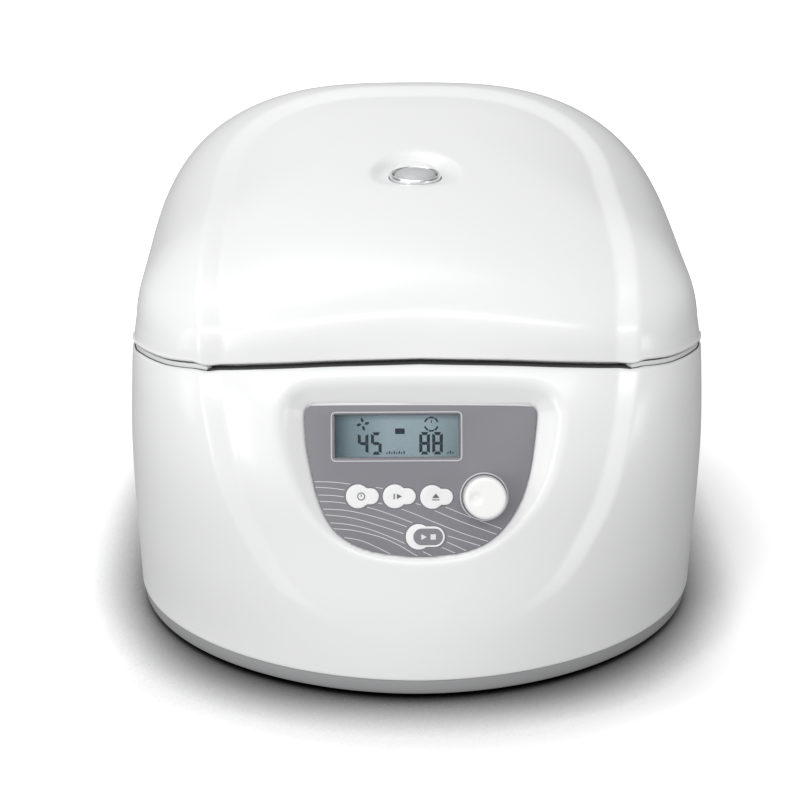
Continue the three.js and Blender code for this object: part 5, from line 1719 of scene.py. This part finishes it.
# name, place, target, width, height, power
AREA_LIGHTS = [
    ("left_strip", (-1.849, -1.067, 0.632), (0, 0, 0.12), 0.35, 1.1, 3.5),
    ("front_left_strip", (-1.224, -1.749, 0.632), (0, 0, 0.12), 0.35, 1.1, 7.8),
    ("right_strip", (1.75, -1.35, 0.28), (0, 0, 0.1), 0.5, 0.6, 5.0),
    ("top_left", (-1.083, -0.909, 1.785), (0, 0, 0.15), 0.8, 0.8, 4.0),
    ("front_top_strip", (0, -1.5, 1.3), (0, -0.05, 0.2), 1.5, 0.3, 8.5),
    ("overhead", (-0.45, 0.35, 2.1), (0, 0, 0.2), 1.3, 1.2, 8.5),
]


def floor_material():
    """White sweep: bright to the camera with a painted soft contact shadow, darker as a bounce."""
    material, tree, output = new_material("floor_white", principled=False)
    path = add_node(tree, "LightPath")
    bounce = add_node(tree, "BsdfDiffuse", {"Color": (FLOOR_BOUNCE,) * 3 + (1,)})
    seen = add_node(tree, "BsdfDiffuse", {"Color": (FLOOR_SEEN, FLOOR_SEEN, FLOOR_SEEN * 1.002, 1)})
    mix = add_node(tree, "MixShader", {
        "Fac": path.outputs["Is Camera Ray"], 1: bounce.outputs[0], 2: seen.outputs[0]})
    # the wide painted shadow is stronger in front than on the +X side
    place = add_node(tree, "NewGeometry").outputs["Position"]
    axes = add_node(tree, "SeparateXYZ", {0: place})
    parts = []
    for axis, low, high, at_low, at_high in (
            ("Y", -0.19, -0.09, 2.55, 1.45), ("X", 0.06, 0.16, 0.0, -0.45)):
        parts.append(add_node(tree, "MapRange", {
            "From Min": low, "From Max": high, "To Min": at_low, "To Max": at_high,
            "Value": axes.outputs[axis]}, interpolation_type="SMOOTHSTEP").outputs["Result"])
    wide_power = add_math(tree, "ADD", *parts)
    shadow = None
    # painted contact shadow: ambient occlusion with a short and a wide reach darkens the floor colour
    for reach, power in ((0.035, 1.5), (0.22, wide_power)):
        occlusion = add_node(tree, "AmbientOcclusion", {"Distance": reach}, samples=8)
        darkness = add_math(tree, "POWER", occlusion.outputs["AO"], power)
        product = add_node(tree, "Math", {0: darkness, 1: FLOOR_SEEN}, operation="MULTIPLY")
        if shadow:
            set_inputs(tree, product, {1: shadow})
        shadow = product.outputs[0]
    set_inputs(tree, seen, {"Color": shadow})
    set_inputs(tree, output, {"Surface": mix.outputs[0]})
    return material


def add_floor():
    half = FLOOR_HALF
    mesh = bpy.data.meshes.new("floor")
    corners = [(-half, -half, 0), (half, -half, 0), (half, half, 0), (-half, half, 0)]
    mesh.from_pydata(corners, [], [(0, 1, 2, 3)])
    o = bpy.data.objects.new("floor", mesh)
    bpy.context.scene.collection.objects.link(o)
    mesh.materials.append(floor_material())


def add_area_light(name, place, target, width, height, power):
    light = bpy.data.lights.new(name, "AREA")
    light.shape, light.size, light.size_y, light.energy = "RECTANGLE", width, height, power
    o = bpy.data.objects.new(name, light)
    bpy.context.scene.collection.objects.link(o)
    o.location = place
    o.rotation_euler = (Vector(target) - Vector(place)).to_track_quat("-Z", "Y").to_euler()


def add_world():
    world = bpy.data.worlds.new("studio")
    bpy.context.scene.world = world
    world.use_nodes = True
    tree = world.node_tree
    background = tree.nodes["Background"]
    direction = add_node(tree, "TexCoord").outputs["Generated"]
    total = WORLD_BASE
    for azimuth, elevation, strength in WORLD_LOBES:
        turn, lift = math.radians(azimuth), math.radians(elevation)
        axis = (math.sin(turn) * math.cos(lift), -math.cos(turn) * math.cos(lift), math.sin(lift))
        facing = add_node(tree, "VectorMath", {0: direction, 1: axis}, operation="DOT_PRODUCT")
        lit = add_math(tree, "MAXIMUM", facing.outputs["Value"], 0)
        lobe = add_math(tree, "POWER", lit, 6.0)
        total = add_math(tree, "MULTIPLY_ADD", lobe, strength, total)
    # plain white to the camera
    path = add_node(tree, "LightPath")
    strength = add_node(tree, "Mix", {"B": 1.0, "Factor": path.outputs["Is Camera Ray"],
                                      "A": total}, data_type="FLOAT")
    set_inputs(tree, background, {
        "Color": (1, 1, 1, 1), "Strength": strength.outputs["Result"]})


def add_camera():
    scene = bpy.context.scene
    camera = bpy.data.cameras.new("camera")
    camera.lens, camera.sensor_width, camera.clip_end = 90.0, 36.0, 60.0
    o = bpy.data.objects.new("camera", camera)
    scene.collection.objects.link(o)
    o.location = (-0.022144, -1.040505, 0.527630)
    o.rotation_euler = (math.radians(67.0), 0.0, math.radians(-0.80))
    scene.camera = o


def stage():
    add_floor()
    for row in AREA_LIGHTS:
        add_area_light(*row)
    add_world()
    view = bpy.context.scene.view_settings
    view.view_transform = "Standard"
    view.look = "None"
    view.exposure = 0.0
    view.gamma = 1.0
    add_camera()


# ------------------------------------------------------------------ build
housing()
seam_strips()
lid_shell()
lid_inner_cover()
lid_cover_ribs()
lid_fittings()
tray()
tray_posts()
underside()
rear_plate()
power_inlet()
switch_frame()
rocker()
fuse_drawer()
release_pull()
fascia()
pinstripes()
display()
display_segments()
for key in KEYS:
    key_cap(key, 0.8)
key_cap("run", 1.0)
key_marks()
knob()
hinge_bracket()
torsion_spring()
for tag, side in SIDES:
    hinge_arm(tag, side)
for tag, side in SIDES:
    lid_hook(tag, side * HOOK_X)
    lid_lock(tag, side * HOOK_X)
chamber()
rotor()
rotor_nut()
motor_shaft()
motor_can()
stator()
bearing("bearing_upper", 5.3, 8.6, 44.3, 51.4)
bearing("bearing_lower", 5.3, 10.5, 14.2, 19.8)
motor_mount()
control_board()
power_board()
stage()

bpy.context.view_layer.update()
